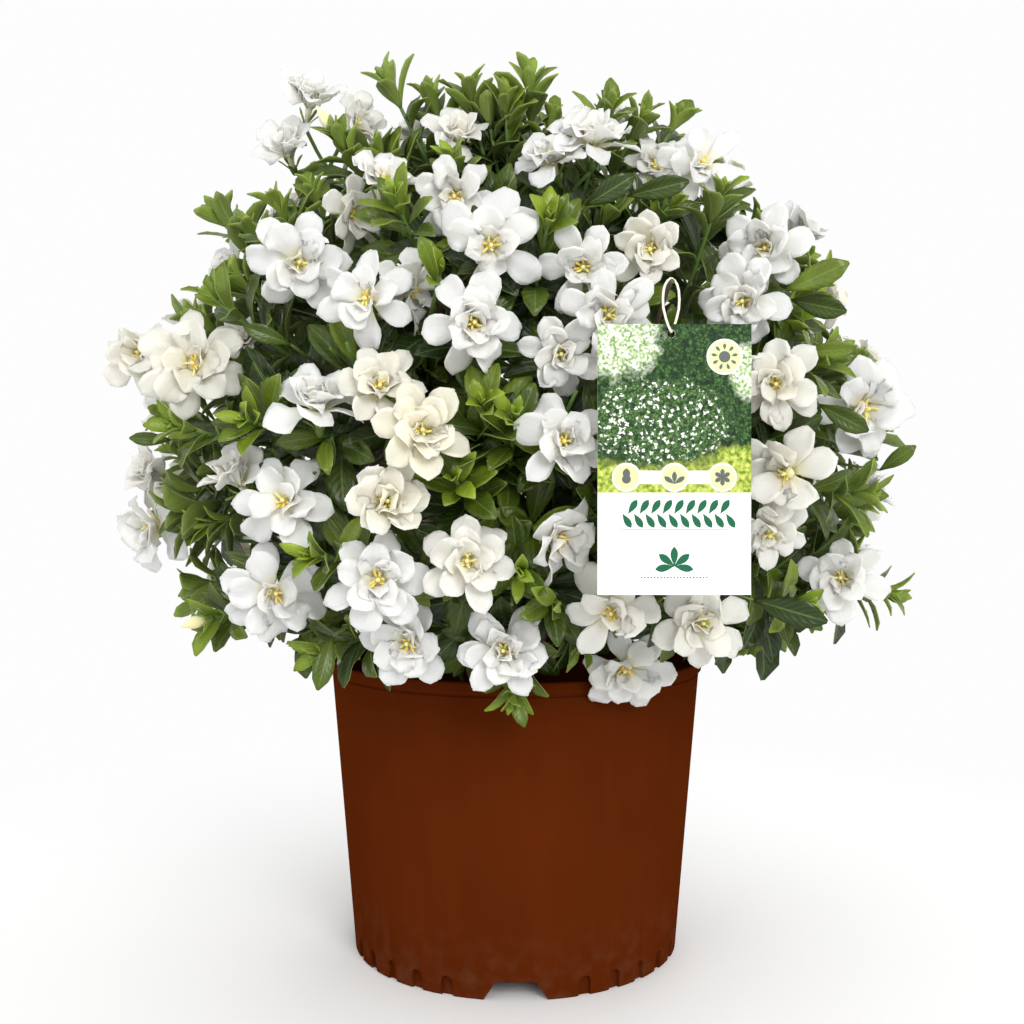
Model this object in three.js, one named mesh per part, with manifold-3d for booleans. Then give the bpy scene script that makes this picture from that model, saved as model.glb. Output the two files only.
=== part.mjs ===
// Potted gardenia: a rounded shrub in full bloom, standing in a tapered nursery pot.
// Millimetres, +Z up. The pot stands on z = 0, its axis is the Z axis, and the front is towards -Y.
import * as THREE from 'three';
import { mergeVertices } from 'three/addons/utils/BufferGeometryUtils.js';
import Module from 'manifold-3d';

const wasm = await Module();
wasm.setup();

const RADIANS = Math.PI / 180;
const GAP = 0.3; // between two pieces that touch
const SAME_POINT = 1e-4; // corners closer than this are one corner

// The pot: a three-gallon squat pot of thin plastic, 11 inches across the rim
const POT = {
  height: 215,
  rimRadius: 140,
  footRadius: 121,
  wall: 2.5,
  lipHeight: 8,
  lipStep: 1.4,
  rimWidth: 3.6,
  sides: 32,
};
const FOOT = { ring: 5.5, floorUnder: 14, floorTop: 17 };
const NOTCH = { count: 4, topWidth: 27, bottomWidth: 45, height: 13.2 };
const GROOVE = { steps: 32, first: 2, last: 6, width: 9, height: 14, depth: 2.6, arcSides: 2 };
const DRAIN = { width: 26, depth: 12, radius: 100 };
const SOIL = { edge: 170, crown: 178, crownRadius: 70, stemHole: 120 };

// The woody frame: one stem that forks low into arms, and a leafy branch on each arm
const TRUNK = { radius: 8, topRadius: 6, firstFork: 188, lastFork: 222, sides: 6 };
const ARM = { baseRadius: 5, endRadius: 3.6, sides: 3, knee: 0.55, sag: 14 };
const HEART = new THREE.Vector3(0, 0, 330); // the branches spread from round this point
const RINGS = [
  { name: 'low', count: 5, azimuth: 270, elevation: -18, reach: 96 },
  { name: 'middle', count: 4, azimuth: 315, elevation: 20, reach: 100 },
  { name: 'top', count: 3, azimuth: 270, elevation: 60, reach: 105 },
];
const LEADER = { length: 44, radius: 3.2, topRadius: 2.6, sides: 4, first: 0.12, last: 1 };
const TWIG = { baseRadius: 1.7, radius: 1.7, tipRadius: 1.5, sides: 3 };
const PEDUNCLE = { length: 14, radius: 1.8, jointRadius: 0.8, gather: 10, joints: [0, 3, 7] };
const BENDS = { knee: 0.6, sag: 0.1, directions: 8, sizes: [0, 14, 28, 42] };

// The crown is a dome, round above its widest height and squarer below it
const CROWN = { widest: 370, radius: 285, rise: 272, drop: 160, upperPower: 2, lowerPower: 3.5 };

// Places seen from the front are given by the point of a 1024 x 1024 view where they show
const VIEW = { x: -2.6, y: -925, z: 335, pitch: 0.66, focal: 1214, middle: 512 };
const SIGHT = { from: 560, to: 1150, step: 1 };

// Blooms seen from the front. across: their width in mm. turn and lift: degrees that they face
// to the right of and above the viewer. open: from 0, a cup, to 1, flat. depth: the level of the
// dome where they sit. spray: blooms with one letter share a stalk.
const SEEN_BLOOMS = [
  { px: 310, py: 104, across: 54, turn: 20, lift: 62, open: 0.25, depth: 0.95, spray: 'a' },
  { px: 289, py: 153, across: 52, turn: -20, lift: 50, open: 0.2, depth: 0.95, spray: 'a' },
  { px: 356, py: 127, across: 46, turn: 40, lift: 30, open: 0.5, depth: 0.84, spray: 'a' },
  { px: 350, py: 214, across: 46, turn: 35, lift: 5, open: 0.7, depth: 0.86, spray: 'b' },
  { px: 382, py: 184, across: 48, turn: 15, lift: 65, open: 0.5, depth: 0.92, spray: 'b' },
  { px: 299, py: 262, across: 58, turn: 0, lift: 0, open: 0.85, depth: 0.94, spray: 'c' },
  { px: 236, py: 272, across: 46, turn: -60, lift: 10, open: 0.7, depth: 0.86, spray: 'c' },
  { px: 368, py: 299, across: 52, turn: -20, lift: 5, open: 0.8, depth: 0.94, spray: 'd' },
  { px: 408, py: 290, across: 46, turn: 55, lift: 0, open: 0.8, depth: 0.86, spray: 'd' },
  { px: 143, py: 352, across: 56, turn: -35, lift: 0, open: 0.7, depth: 0.93, spray: 'e' },
  { px: 194, py: 364, across: 64, turn: -8, lift: 5, open: 0.75, depth: 0.95, spray: 'e' },
  { px: 244, py: 342, across: 36, turn: -20, lift: 40, open: 0.3, depth: 0.82, spray: 'f' },
  { px: 317, py: 407, across: 56, turn: -10, lift: 58, open: 0.6, depth: 0.94, spray: 'g' },
  { px: 379, py: 390, across: 48, turn: 5, lift: 28, open: 0.7, depth: 0.92, spray: 'h' },
  { px: 421, py: 432, across: 54, turn: 8, lift: 12, open: 0.55, depth: 0.95, spray: 'h' },
  { px: 386, py: 503, across: 52, turn: 8, lift: 10, open: 0.5, depth: 0.95, spray: 'i' },
  { px: 378, py: 580, across: 56, turn: 0, lift: 0, open: 0.95, depth: 0.96, spray: 'i' },
  { px: 408, py: 642, across: 54, turn: -10, lift: -12, open: 0.85, depth: 0.93, spray: 'i' },
  { px: 274, py: 592, across: 60, turn: 8, lift: -8, open: 0.95, depth: 0.94, spray: 'j' },
  { px: 285, py: 502, across: 54, turn: -15, lift: 10, open: 0.8, depth: 0.92, spray: 'k' },
  { px: 240, py: 482, across: 48, turn: -40, lift: 50, open: 0.2, depth: 0.9, spray: 'k' },
  { px: 155, py: 525, across: 64, turn: -70, lift: -15, open: 0.75, depth: 0.94, spray: 'l' },
  { px: 160, py: 476, across: 50, turn: -65, lift: 30, open: 0.2, depth: 0.92, spray: 'l' },
  { px: 466, py: 562, across: 52, turn: 5, lift: 5, open: 0.8, depth: 0.92, spray: 'm' },
  { px: 503, py: 650, across: 54, turn: 0, lift: -5, open: 0.8, depth: 0.94, spray: 'n' },
  { px: 556, py: 538, across: 50, turn: 50, lift: -20, open: 0.55, depth: 0.88, spray: 'o' },
  { px: 562, py: 442, across: 53, turn: 12, lift: 5, open: 0.7, depth: 0.92, spray: 'p' },
  { px: 473, py: 322, across: 54, turn: 8, lift: 0, open: 0.7, depth: 0.96, spray: 'q' },
  { px: 490, py: 245, across: 60, turn: 5, lift: 0, open: 0.9, depth: 0.95, spray: 'r' },
  { px: 455, py: 198, across: 52, turn: -5, lift: 10, open: 0.8, depth: 0.88, spray: 'r' },
  { px: 560, py: 354, across: 46, turn: 8, lift: 0, open: 0.7, depth: 0.88, spray: 's' },
  { px: 583, py: 267, across: 50, turn: 0, lift: 0, open: 0.8, depth: 0.91, spray: 't' },
  { px: 651, py: 249, across: 48, turn: -5, lift: 0, open: 0.45, depth: 0.92, spray: 't' },
  { px: 608, py: 314, across: 52, turn: 5, lift: -5, open: 0.85, depth: 0.94, spray: 't' },
  { px: 592, py: 142, across: 54, turn: 5, lift: 68, open: 0.75, depth: 0.94, spray: 'u' },
  { px: 552, py: 160, across: 48, turn: -25, lift: 58, open: 0.8, depth: 0.9, spray: 'u' },
  { px: 702, py: 165, across: 52, turn: 10, lift: 25, open: 0.8, depth: 0.95, spray: 'v' },
  { px: 656, py: 168, across: 44, turn: 10, lift: 30, open: 0.7, depth: 0.86, spray: 'v' },
  { px: 767, py: 248, across: 54, turn: -12, lift: 0, open: 0.6, depth: 0.94, spray: 'w' },
  { px: 744, py: 300, across: 53, turn: -10, lift: -5, open: 0.75, depth: 0.92, spray: 'w' },
  { px: 775, py: 384, across: 52, turn: 5, lift: 0, open: 0.7, depth: 0.93, spray: 'x' },
  { px: 862, py: 408, across: 64, turn: 30, lift: -5, open: 0.8, depth: 0.94, spray: 'y' },
  { px: 788, py: 473, across: 60, turn: -22, lift: -5, open: 0.7, depth: 0.94, spray: 'z' },
  { px: 770, py: 532, across: 42, turn: 0, lift: -30, open: 0.6, depth: 0.9, spray: 'z' },
  { px: 845, py: 578, across: 62, turn: 5, lift: 0, open: 0.75, depth: 0.95, spray: 'A' },
  { px: 612, py: 612, across: 54, turn: -5, lift: -10, open: 0.8, depth: 0.93, spray: 'B' },
  { px: 625, py: 668, across: 56, turn: 0, lift: -20, open: 0.85, depth: 0.94, spray: 'B' },
  { px: 702, py: 622, across: 56, turn: 8, lift: -8, open: 0.7, depth: 0.92, spray: 'C' },
  { px: 457, py: 140, across: 46, turn: 10, lift: 45, open: 0.5, depth: 0.88, spray: 'D' },
];

// Sprays that the front view doesn't show: a spiral round the dome, kept where it is behind
const BACK_SPRAYS = {
  turns: 26, top: 632, bottom: 236, turnStep: 137.5, nearest: 62, level: 0.93, behind: 0,
};
const BACK_BLOOM = { across: 54, spread: 31, tilt: 20, tripleShare: 0.5 };
const BLOOM = {
  petals: 6,
  outer: { length: 0.45, width: 0.3, cupTilt: 62, openTilt: -4 },
  inner: { length: 0.3, width: 0.22, cupTilt: 78, openTilt: 42 },
  cup: 0.09,
  uneven: 12,
  throatRadius: 0.075,
  throatHeight: 0.06,
  tip: 0.1,
  base: 0.34,
};

// Tips of the leafy shoots seen from the front, the level of the dome that they reach, and how
// many whorls of leaves they show
const SEEN_SHOOTS = [
  { px: 385, py: 76, depth: 0.98, whorls: 3 },
  { px: 428, py: 88, depth: 0.97, whorls: 3 },
  { px: 468, py: 84, depth: 0.98, whorls: 2 },
  { px: 505, py: 92, depth: 0.97, whorls: 3 },
  { px: 530, py: 72, depth: 1.00, whorls: 2 },
  { px: 612, py: 104, depth: 0.97, whorls: 2 },
  { px: 645, py: 112, depth: 0.96, whorls: 2 },
  { px: 680, py: 116, depth: 0.98, whorls: 3 },
  { px: 218, py: 212, depth: 0.98, whorls: 2 },
  { px: 275, py: 200, depth: 0.96, whorls: 2 },
  { px: 212, py: 298, depth: 0.97, whorls: 2 },
  { px: 182, py: 428, depth: 0.97, whorls: 2 },
  { px: 214, py: 618, depth: 0.97, whorls: 3 },
  { px: 722, py: 190, depth: 0.98, whorls: 2 },
  { px: 818, py: 280, depth: 0.99, whorls: 3 },
  { px: 826, py: 358, depth: 0.98, whorls: 2 },
  { px: 862, py: 494, depth: 0.99, whorls: 3 },
  { px: 886, py: 592, depth: 0.98, whorls: 3 },
  { px: 800, py: 604, depth: 0.97, whorls: 2 },
  { px: 440, py: 272, depth: 0.95, whorls: 2 },
  { px: 482, py: 404, depth: 0.93, whorls: 2 },
  { px: 515, py: 418, depth: 0.94, whorls: 2 },
  { px: 318, py: 556, depth: 0.96, whorls: 2 },
  { px: 520, py: 572, depth: 0.935, whorls: 2 },
  { px: 578, py: 388, depth: 0.94, whorls: 2 },
  { px: 455, py: 480, depth: 0.9, whorls: 2 },
  { px: 394, py: 200, depth: 0.98, whorls: 2 },
  { px: 548, py: 222, depth: 0.97, whorls: 2 },
  { px: 512, py: 690, depth: 0.955, whorls: 2 },
  { px: 325, py: 650, depth: 0.97, whorls: 2 },
  { px: 560, py: 604, depth: 0.935, whorls: 2 },
  { px: 334, py: 134, depth: 0.97, whorls: 2 },
  { px: 250, py: 420, depth: 0.96, whorls: 2 },
  { px: 346, py: 342, depth: 0.95, whorls: 2 },
];
const BACK_SHOOTS = {
  turns: 78, top: 634, bottom: 228, turnStep: 137.5, nearest: 46, level: 0.955, behind: -15, whorls: 2,
};

// Whorls of leaves up a shoot. back: how far they are from its tip. spread: degrees from its axis
const WHORLS = [
  { back: 30, spread: 62, length: 50 },
  { back: 15, spread: 50, length: 46 },
  { back: 2.5, spread: 26, length: 34 },
];
const LEAF = { width: 0.44, waist: 0.52, root: 2, arch: 0.16, fold: 0.2, bud: 5 };

// The tag: a card that hangs by a string loop from a twig
const TAG = { width: 80, height: 141, thickness: 0.8, x: 82, y: -292, z: 355 };
const HOLE = { radius: 2.2, offset: -1.8, below: 5, sides: 10 };
const LOOP = {
  radius: 0.8,
  height: 28.9,
  width: 4.2,
  sides: 4,
  steps: 9,
  overlap: 0.01,
  slack: 0.35,
  twigRadius: 1.4,
  twigEnd: 5,
  twigReach: 34,
};

const PLASTIC = new THREE.MeshStandardMaterial({ color: '#6e321a', roughness: 0.42, metalness: 0 });
const EARTH = new THREE.MeshStandardMaterial({ color: '#3a2a20', roughness: 0.95, metalness: 0 });
const BARK = new THREE.MeshStandardMaterial({ color: '#5b4a38', roughness: 0.85, metalness: 0 });
const FOLIAGE = new THREE.MeshStandardMaterial({ color: '#3f6425', roughness: 0.4, metalness: 0 });
const PETALS = new THREE.MeshStandardMaterial({ color: '#f4f3ee', roughness: 0.6, metalness: 0 });
const CARD = new THREE.MeshStandardMaterial({ color: '#f7f7f2', roughness: 0.5, metalness: 0 });
const STRING = new THREE.MeshStandardMaterial({ color: '#efeedd', roughness: 0.7, metalness: 0 });

const UP = new THREE.Vector3(0, 0, 1);

// A repeatable stream of numbers from 0 to 1
function numbers(seed) {
  let state = (seed * 7919 + 104729) % 4294967296;
  const next = () => {
    state = (1664525 * state + 1013904223) % 4294967296;
    return state / 4294967296;
  };
  next();
  next();
  return next;
}

// A closed geometry as a solid that can be joined and cut
function solid(geometry) {
  const bare = new THREE.BufferGeometry();
  bare.setAttribute('position', geometry.getAttribute('position'));
  bare.setIndex(geometry.index);
  const merged = mergeVertices(bare, SAME_POINT);
  const corners = merged.index.array;
  const faces = [];
  for (let i = 0; i < corners.length; i += 3) {
    const [a, b, c] = corners.slice(i, i + 3);
    if (a !== b && b !== c && c !== a) faces.push(a, b, c);
  }
  return new wasm.Manifold(new wasm.Mesh({
    numProp: 3,
    vertProperties: new Float32Array(merged.getAttribute('position').array),
    triVerts: new Uint32Array(faces),
  }));
}

function joined(solids) {
  return solids.reduce((whole, piece) => whole.add(piece));
}

// The largest body of a solid: a loose scrap that a cut leaves is dropped
function body(whole) {
  const bodies = whole.decompose();
  return bodies.reduce((best, piece) => (piece.volume() > best.volume() ? piece : best));
}

function meshOf(name, whole, material) {
  const { vertProperties, triVerts } = body(whole).getMesh();
  const geometry = new THREE.BufferGeometry();
  geometry.setAttribute('position', new THREE.BufferAttribute(vertProperties, 3));
  geometry.setIndex(new THREE.BufferAttribute(triVerts, 1));
  geometry.computeVertexNormals();
  const mesh = new THREE.Mesh(geometry, material);
  mesh.name = name;
  return mesh;
}

// A list of solids with their boxes, to find what a new piece would run into
class Neighbours {
  constructor() {
    this.entries = [];
  }

  add(piece, owner) {
    this.entries.push({ piece, owner, box: piece.boundingBox() });
  }

  remove(owner) {
    this.entries = this.entries.filter((entry) => entry.owner !== owner);
  }

  isClear(piece, skip = () => false) {
    const box = piece.boundingBox();
    return this.entries.every((entry) => {
      if (skip(entry.owner)) return true;
      const apart = [0, 1, 2].some(
        (axis) => box.min[axis] > entry.box.max[axis] || box.max[axis] < entry.box.min[axis],
      );
      return apart || piece.intersect(entry.piece).isEmpty();
    });
  }
}

// A closed shell put together face by face
class Shell {
  constructor() {
    this.points = [];
    this.faces = [];
    this.reference = null;
  }

  point(place) {
    this.points.push(place);
    return this.points.length - 1;
  }

  // A flat face, its corners counter-clockwise as seen from outside
  face(...corners) {
    for (let i = 1; i < corners.length - 1; i += 1) {
      this.faces.push(corners[0], corners[i], corners[i + 1]);
    }
  }

  // Corners round a point of a stem, counter-clockwise as seen from the end that the stem grows to
  ring(centre, normal, radius, sides, turn = 0) {
    const steep = Math.abs(normal.z) > 0.9 ? new THREE.Vector3(1, 0, 0) : UP;
    const guide = this.reference ?? steep;
    this.reference = guide.clone().addScaledVector(normal, -guide.dot(normal)).normalize();
    const beside = normal.clone().cross(this.reference);
    return Array.from({ length: sides }, (_, i) => {
      const angle = turn + (i / sides) * 2 * Math.PI;
      return this.point(centre.clone()
        .addScaledVector(this.reference, radius * Math.cos(angle))
        .addScaledVector(beside, radius * Math.sin(angle)));
    });
  }

  band(lower, upper) {
    lower.forEach((corner, i) => {
      const next = (i + 1) % lower.length;
      this.face(corner, lower[next], upper[next], upper[i]);
    });
  }

  solid() {
    const geometry = new THREE.BufferGeometry();
    const coordinates = this.points.flatMap((place) => place.toArray());
    geometry.setAttribute('position', new THREE.Float32BufferAttribute(coordinates, 3));
    geometry.setIndex(this.faces);
    return solid(geometry);
  }
}

// The direction that each point of a path faces: halfway between the stretches that meet there
function facings(points) {
  const steps = points.slice(1).map((to, i) => to.clone().sub(points[i]).normalize());
  return points.map((_, i) => {
    const before = steps[Math.max(i - 1, 0)];
    const after = steps[Math.min(i, steps.length - 1)];
    return before.clone().add(after).normalize();
  });
}

// A stem along a path, its thickness changing evenly from one end to the other
function stem(points, fromRadius, toRadius, sides) {
  const shell = new Shell();
  const normals = facings(points);
  const rings = points.map((point, i) => {
    const radius = THREE.MathUtils.lerp(fromRadius, toRadius, i / (points.length - 1));
    return shell.ring(point, normals[i], radius, sides);
  });
  rings.slice(1).forEach((upper, i) => shell.band(rings[i], upper));
  shell.face(...rings[0].slice().reverse());
  shell.face(...rings[rings.length - 1]);
  return shell.solid();
}

// A closed turned solid from a profile of [radius, height] points, one flat side facing the front
function turned(profile, sides) {
  const points = profile.map(([radius, height]) => new THREE.Vector2(radius, height));
  const geometry = new THREE.LatheGeometry(points, sides).rotateX(Math.PI / 2);
  return solid(geometry.rotateZ(Math.PI / sides));
}

// A flat outline standing upright at the front of the pot, pushed inwards from a given radius
function frontCutter(shape, radius, depth, arcSides = 1) {
  const options = { depth, bevelEnabled: false, curveSegments: arcSides };
  return new THREE.ExtrudeGeometry(shape, options).rotateX(Math.PI / 2).translate(0, -radius + depth, 0);
}

function outerRadius(z) {
  return THREE.MathUtils.lerp(POT.footRadius, POT.rimRadius - POT.lipStep, z / POT.height);
}

function innerRadius(z) {
  return outerRadius(z) - POT.wall;
}

function notchShape() {
  return new THREE.Shape([
    new THREE.Vector2(-NOTCH.bottomWidth / 2, -1),
    new THREE.Vector2(NOTCH.bottomWidth / 2, -1),
    new THREE.Vector2(NOTCH.topWidth / 2, NOTCH.height),
    new THREE.Vector2(-NOTCH.topWidth / 2, NOTCH.height),
  ]);
}

function grooveShape() {
  const shape = new THREE.Shape();
  const springing = GROOVE.height - GROOVE.width / 2;
  shape.moveTo(-GROOVE.width / 2, -1);
  shape.lineTo(GROOVE.width / 2, -1);
  shape.lineTo(GROOVE.width / 2, springing);
  shape.absarc(0, springing, GROOVE.width / 2, 0, Math.PI);
  return shape;
}

// The turned pot, with drain notches through its foot ring, drain slots in its floor and
// round-topped grooves pressed into the foot of its wall
function pot() {
  const lipFoot = POT.height - POT.lipHeight;
  const footInner = POT.footRadius - FOOT.ring;
  const shell = turned([
    [0, FOOT.floorUnder],
    [footInner, FOOT.floorUnder],
    [footInner, 0],
    [POT.footRadius, 0],
    [outerRadius(lipFoot), lipFoot],
    [POT.rimRadius, lipFoot + POT.lipStep],
    [POT.rimRadius, POT.height],
    [POT.rimRadius - POT.rimWidth, POT.height],
    [innerRadius(FOOT.floorTop), FOOT.floorTop],
    [0, FOOT.floorTop],
  ], POT.sides);

  const cutters = [];
  for (let quarter = 0; quarter < NOTCH.count; quarter += 1) {
    const angle = (quarter / NOTCH.count) * 2 * Math.PI;
    const notch = frontCutter(notchShape(), POT.footRadius + FOOT.ring, 3 * FOOT.ring);
    const drain = new THREE.BoxGeometry(DRAIN.width, DRAIN.depth, 3 * FOOT.floorTop);
    drain.translate(0, -DRAIN.radius, FOOT.floorTop);
    cutters.push(notch.rotateZ(angle), drain.rotateZ(angle));
    for (let step = GROOVE.first; step <= GROOVE.last; step += 1) {
      const turn = (2 * Math.PI * step) / GROOVE.steps;
      const radius = outerRadius(0) + GROOVE.depth;
      const groove = frontCutter(grooveShape(), radius, 2 * GROOVE.depth, GROOVE.arcSides);
      cutters.push(groove.rotateZ(angle + turn));
    }
  }
  return cutters.reduce((whole, cutter) => whole.subtract(solid(cutter)), shell);
}

function soil() {
  const bottom = FOOT.floorTop + GAP;
  const whole = turned([
    [0, bottom],
    [innerRadius(bottom) - GAP, bottom],
    [innerRadius(SOIL.edge) - GAP, SOIL.edge],
    [SOIL.crownRadius, SOIL.crown],
    [0, SOIL.crown],
  ], POT.sides);
  const foot = new THREE.Vector3(0, 0, SOIL.stemHole);
  const top = new THREE.Vector3(0, 0, SOIL.crown + GAP * 2);
  const hole = TRUNK.radius + GAP;
  return whole.subtract(stem([foot, top], hole, hole, TRUNK.sides));
}

function direction(azimuth, elevation) {
  const level = Math.cos(elevation * RADIANS);
  return new THREE.Vector3(
    level * Math.cos(azimuth * RADIANS),
    level * Math.sin(azimuth * RADIANS),
    Math.sin(elevation * RADIANS),
  );
}

// Each branch: its direction from the heart, the arm that carries it and its woody leader
function branchFrames() {
  const places = RINGS.flatMap((ring) => Array.from({ length: ring.count }, (_, i) => ({
    name: `branch_${ring.name}_${i + 1}`,
    outward: direction(ring.azimuth + (i * 360) / ring.count, ring.elevation),
    reach: ring.reach,
  })));
  return places.map(({ name, outward, reach }, i) => {
    const height = THREE.MathUtils.lerp(TRUNK.firstFork, TRUNK.lastFork, i / (places.length - 1));
    const fork = new THREE.Vector3(0, 0, height);
    const end = HEART.clone().addScaledVector(outward, reach);
    const knee = fork.clone().lerp(end, ARM.knee).addScaledVector(outward, -ARM.sag);
    const along = end.clone().sub(knee).normalize();
    const foot = end.clone().addScaledVector(along, GAP);
    const leader = [foot, foot.clone().addScaledVector(along, LEADER.length)];
    return { name, outward, arm: [fork, knee, end], along, leader, targets: [], pieces: [] };
  });
}

function trunk(frames) {
  const foot = new THREE.Vector3(0, 0, SOIL.stemHole + GAP);
  const top = new THREE.Vector3(0, 0, TRUNK.lastFork + TRUNK.topRadius);
  const main = stem([foot, top], TRUNK.radius, TRUNK.topRadius, TRUNK.sides);
  const arms = frames.map(({ arm }) => stem(arm, ARM.baseRadius, ARM.endRadius, ARM.sides));
  return joined([main, ...arms]);
}

function domePower(z) {
  return z >= CROWN.widest ? CROWN.upperPower : CROWN.lowerPower;
}

// Height from the widest part of the dome, as a share of how far the dome goes that way
function domeHeight(z) {
  return Math.abs(z - CROWN.widest) / (z >= CROWN.widest ? CROWN.rise : CROWN.drop);
}

function domeLevel({ x, y, z }) {
  const power = domePower(z);
  return ((Math.hypot(x, y) / CROWN.radius) ** power + domeHeight(z) ** power) ** (1 / power);
}

// How far from the axis the given level of the dome is at a height
function domeRadius(z, level) {
  const power = domePower(z);
  return CROWN.radius * Math.max(level ** power - domeHeight(z) ** power, 0) ** (1 / power);
}

// The first point of a sight line inside the given level of the dome, or the one nearest to it
function seenPoint({ px, py, depth }) {
  const across = (px - VIEW.middle) / VIEW.focal;
  const down = (py - VIEW.middle) / VIEW.focal;
  const cos = Math.cos(VIEW.pitch * RADIANS);
  const sin = Math.sin(VIEW.pitch * RADIANS);
  const ray = new THREE.Vector3(across, cos - down * sin, -sin - down * cos).normalize();
  const eye = new THREE.Vector3(VIEW.x, VIEW.y, VIEW.z);
  let nearest = eye;
  for (let reach = SIGHT.from; reach <= SIGHT.to; reach += SIGHT.step) {
    const point = eye.clone().addScaledVector(ray, reach);
    if (domeLevel(point) <= depth) return point;
    if (domeLevel(point) < domeLevel(nearest)) nearest = point;
  }
  return nearest;
}

// Points of a spiral round the dome that lie behind it, clear of the points already taken
function backPoints(rule, taken) {
  const points = [];
  for (let i = 0; i < rule.turns; i += 1) {
    const z = THREE.MathUtils.lerp(rule.top, rule.bottom, (i + 0.5) / rule.turns);
    const angle = i * rule.turnStep * RADIANS;
    const radius = domeRadius(z, rule.level);
    const point = new THREE.Vector3(radius * Math.cos(angle), radius * Math.sin(angle), z);
    const clear = [...taken, ...points].every((other) => other.distanceTo(point) > rule.nearest);
    if (point.y > rule.behind && clear) points.push(point);
  }
  return points;
}

function seenBlooms() {
  const eye = new THREE.Vector3(VIEW.x, VIEW.y, VIEW.z);
  return SEEN_BLOOMS.map((bloom) => {
    const centre = seenPoint(bloom);
    const viewer = eye.clone().sub(centre).normalize();
    const right = UP.clone().cross(viewer).normalize();
    const above = viewer.clone().cross(right);
    const turn = bloom.turn * RADIANS;
    const lift = bloom.lift * RADIANS;
    const facing = viewer.multiplyScalar(Math.cos(turn) * Math.cos(lift))
      .addScaledVector(right, Math.sin(turn) * Math.cos(lift))
      .addScaledVector(above, Math.sin(lift));
    return { centre, facing, across: bloom.across, open: bloom.open, spray: bloom.spray };
  });
}

// Two or three blooms round each spray at the back, facing outwards
function backBlooms(taken) {
  const random = numbers(11);
  return backPoints(BACK_SPRAYS, taken).flatMap((point, i) => {
    const outward = new THREE.Vector3(point.x, point.y, point.z - CROWN.widest).normalize();
    const aside = UP.clone().cross(outward).normalize();
    const above = outward.clone().cross(aside);
    const count = random() < BACK_BLOOM.tripleShare ? 3 : 2;
    const slope = random() * Math.PI;
    return Array.from({ length: count }, (_, k) => {
      const angle = slope + (k / count) * 2 * Math.PI;
      const outwards = aside.clone().multiplyScalar(Math.cos(angle)).addScaledVector(above, Math.sin(angle));
      const tilt = BACK_BLOOM.tilt * RADIANS * (0.5 + random());
      return {
        centre: point.clone().addScaledVector(outwards, BACK_BLOOM.spread),
        facing: outward.clone().addScaledVector(outwards, tilt).normalize(),
        across: BACK_BLOOM.across * (0.92 + 0.16 * random()),
        open: 0.55 + 0.4 * random(),
        spray: `back_${i}`,
      };
    });
  });
}

function bloomBase({ centre, facing, across }) {
  return centre.clone().addScaledVector(facing, -BLOOM.base * across);
}

// The directions of a petal or leaf that grows outwards from an axis, tilted up towards it
function bladeFrame(axis, outward, tilt) {
  const along = outward.clone().multiplyScalar(Math.cos(tilt)).addScaledVector(axis, Math.sin(tilt));
  const aside = outward.clone().cross(axis);
  return { along, aside, face: aside.clone().cross(along) };
}

function bladePoint(root, { along, aside, face }, reach, side, lift) {
  return root.clone()
    .addScaledVector(along, reach)
    .addScaledVector(aside, side)
    .addScaledVector(face, lift);
}

// An outer petal on the root triangle left, right and top: hollowed, with a blunt waved end
function outerPetal(shell, [left, right, top], root, frame, length, width) {
  const cup = BLOOM.cup * length;
  const at = (reach, side, lift) => (
    shell.point(bladePoint(root, frame, reach * length, side * width, lift))
  );
  const leftSide = at(0.6, -0.5, cup);
  const leftEnd = at(0.98, -0.26, -0.4 * cup);
  const rightEnd = at(0.98, 0.26, 0);
  const rightSide = at(0.6, 0.5, cup);
  shell.face(top, right, rightSide, rightEnd, leftEnd, leftSide, left);
  shell.face(left, leftSide, leftEnd);
  shell.face(left, leftEnd, rightEnd, right);
  shell.face(right, rightEnd, rightSide);
}

// An inner petal on the root triangle left, right and bottom: steeper, and widest at its end
function innerPetal(shell, [left, right, bottom], root, frame, length, width) {
  const cup = BLOOM.cup * length;
  const at = (reach, side, lift) => (
    shell.point(bladePoint(root, frame, reach * length, side * width, lift))
  );
  const leftEnd = at(0.9, -0.5, cup);
  const rightEnd = at(1, 0.5, 0);
  shell.face(bottom, left, leftEnd, rightEnd, right);
  shell.face(left, right, rightEnd, leftEnd);
}

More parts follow.
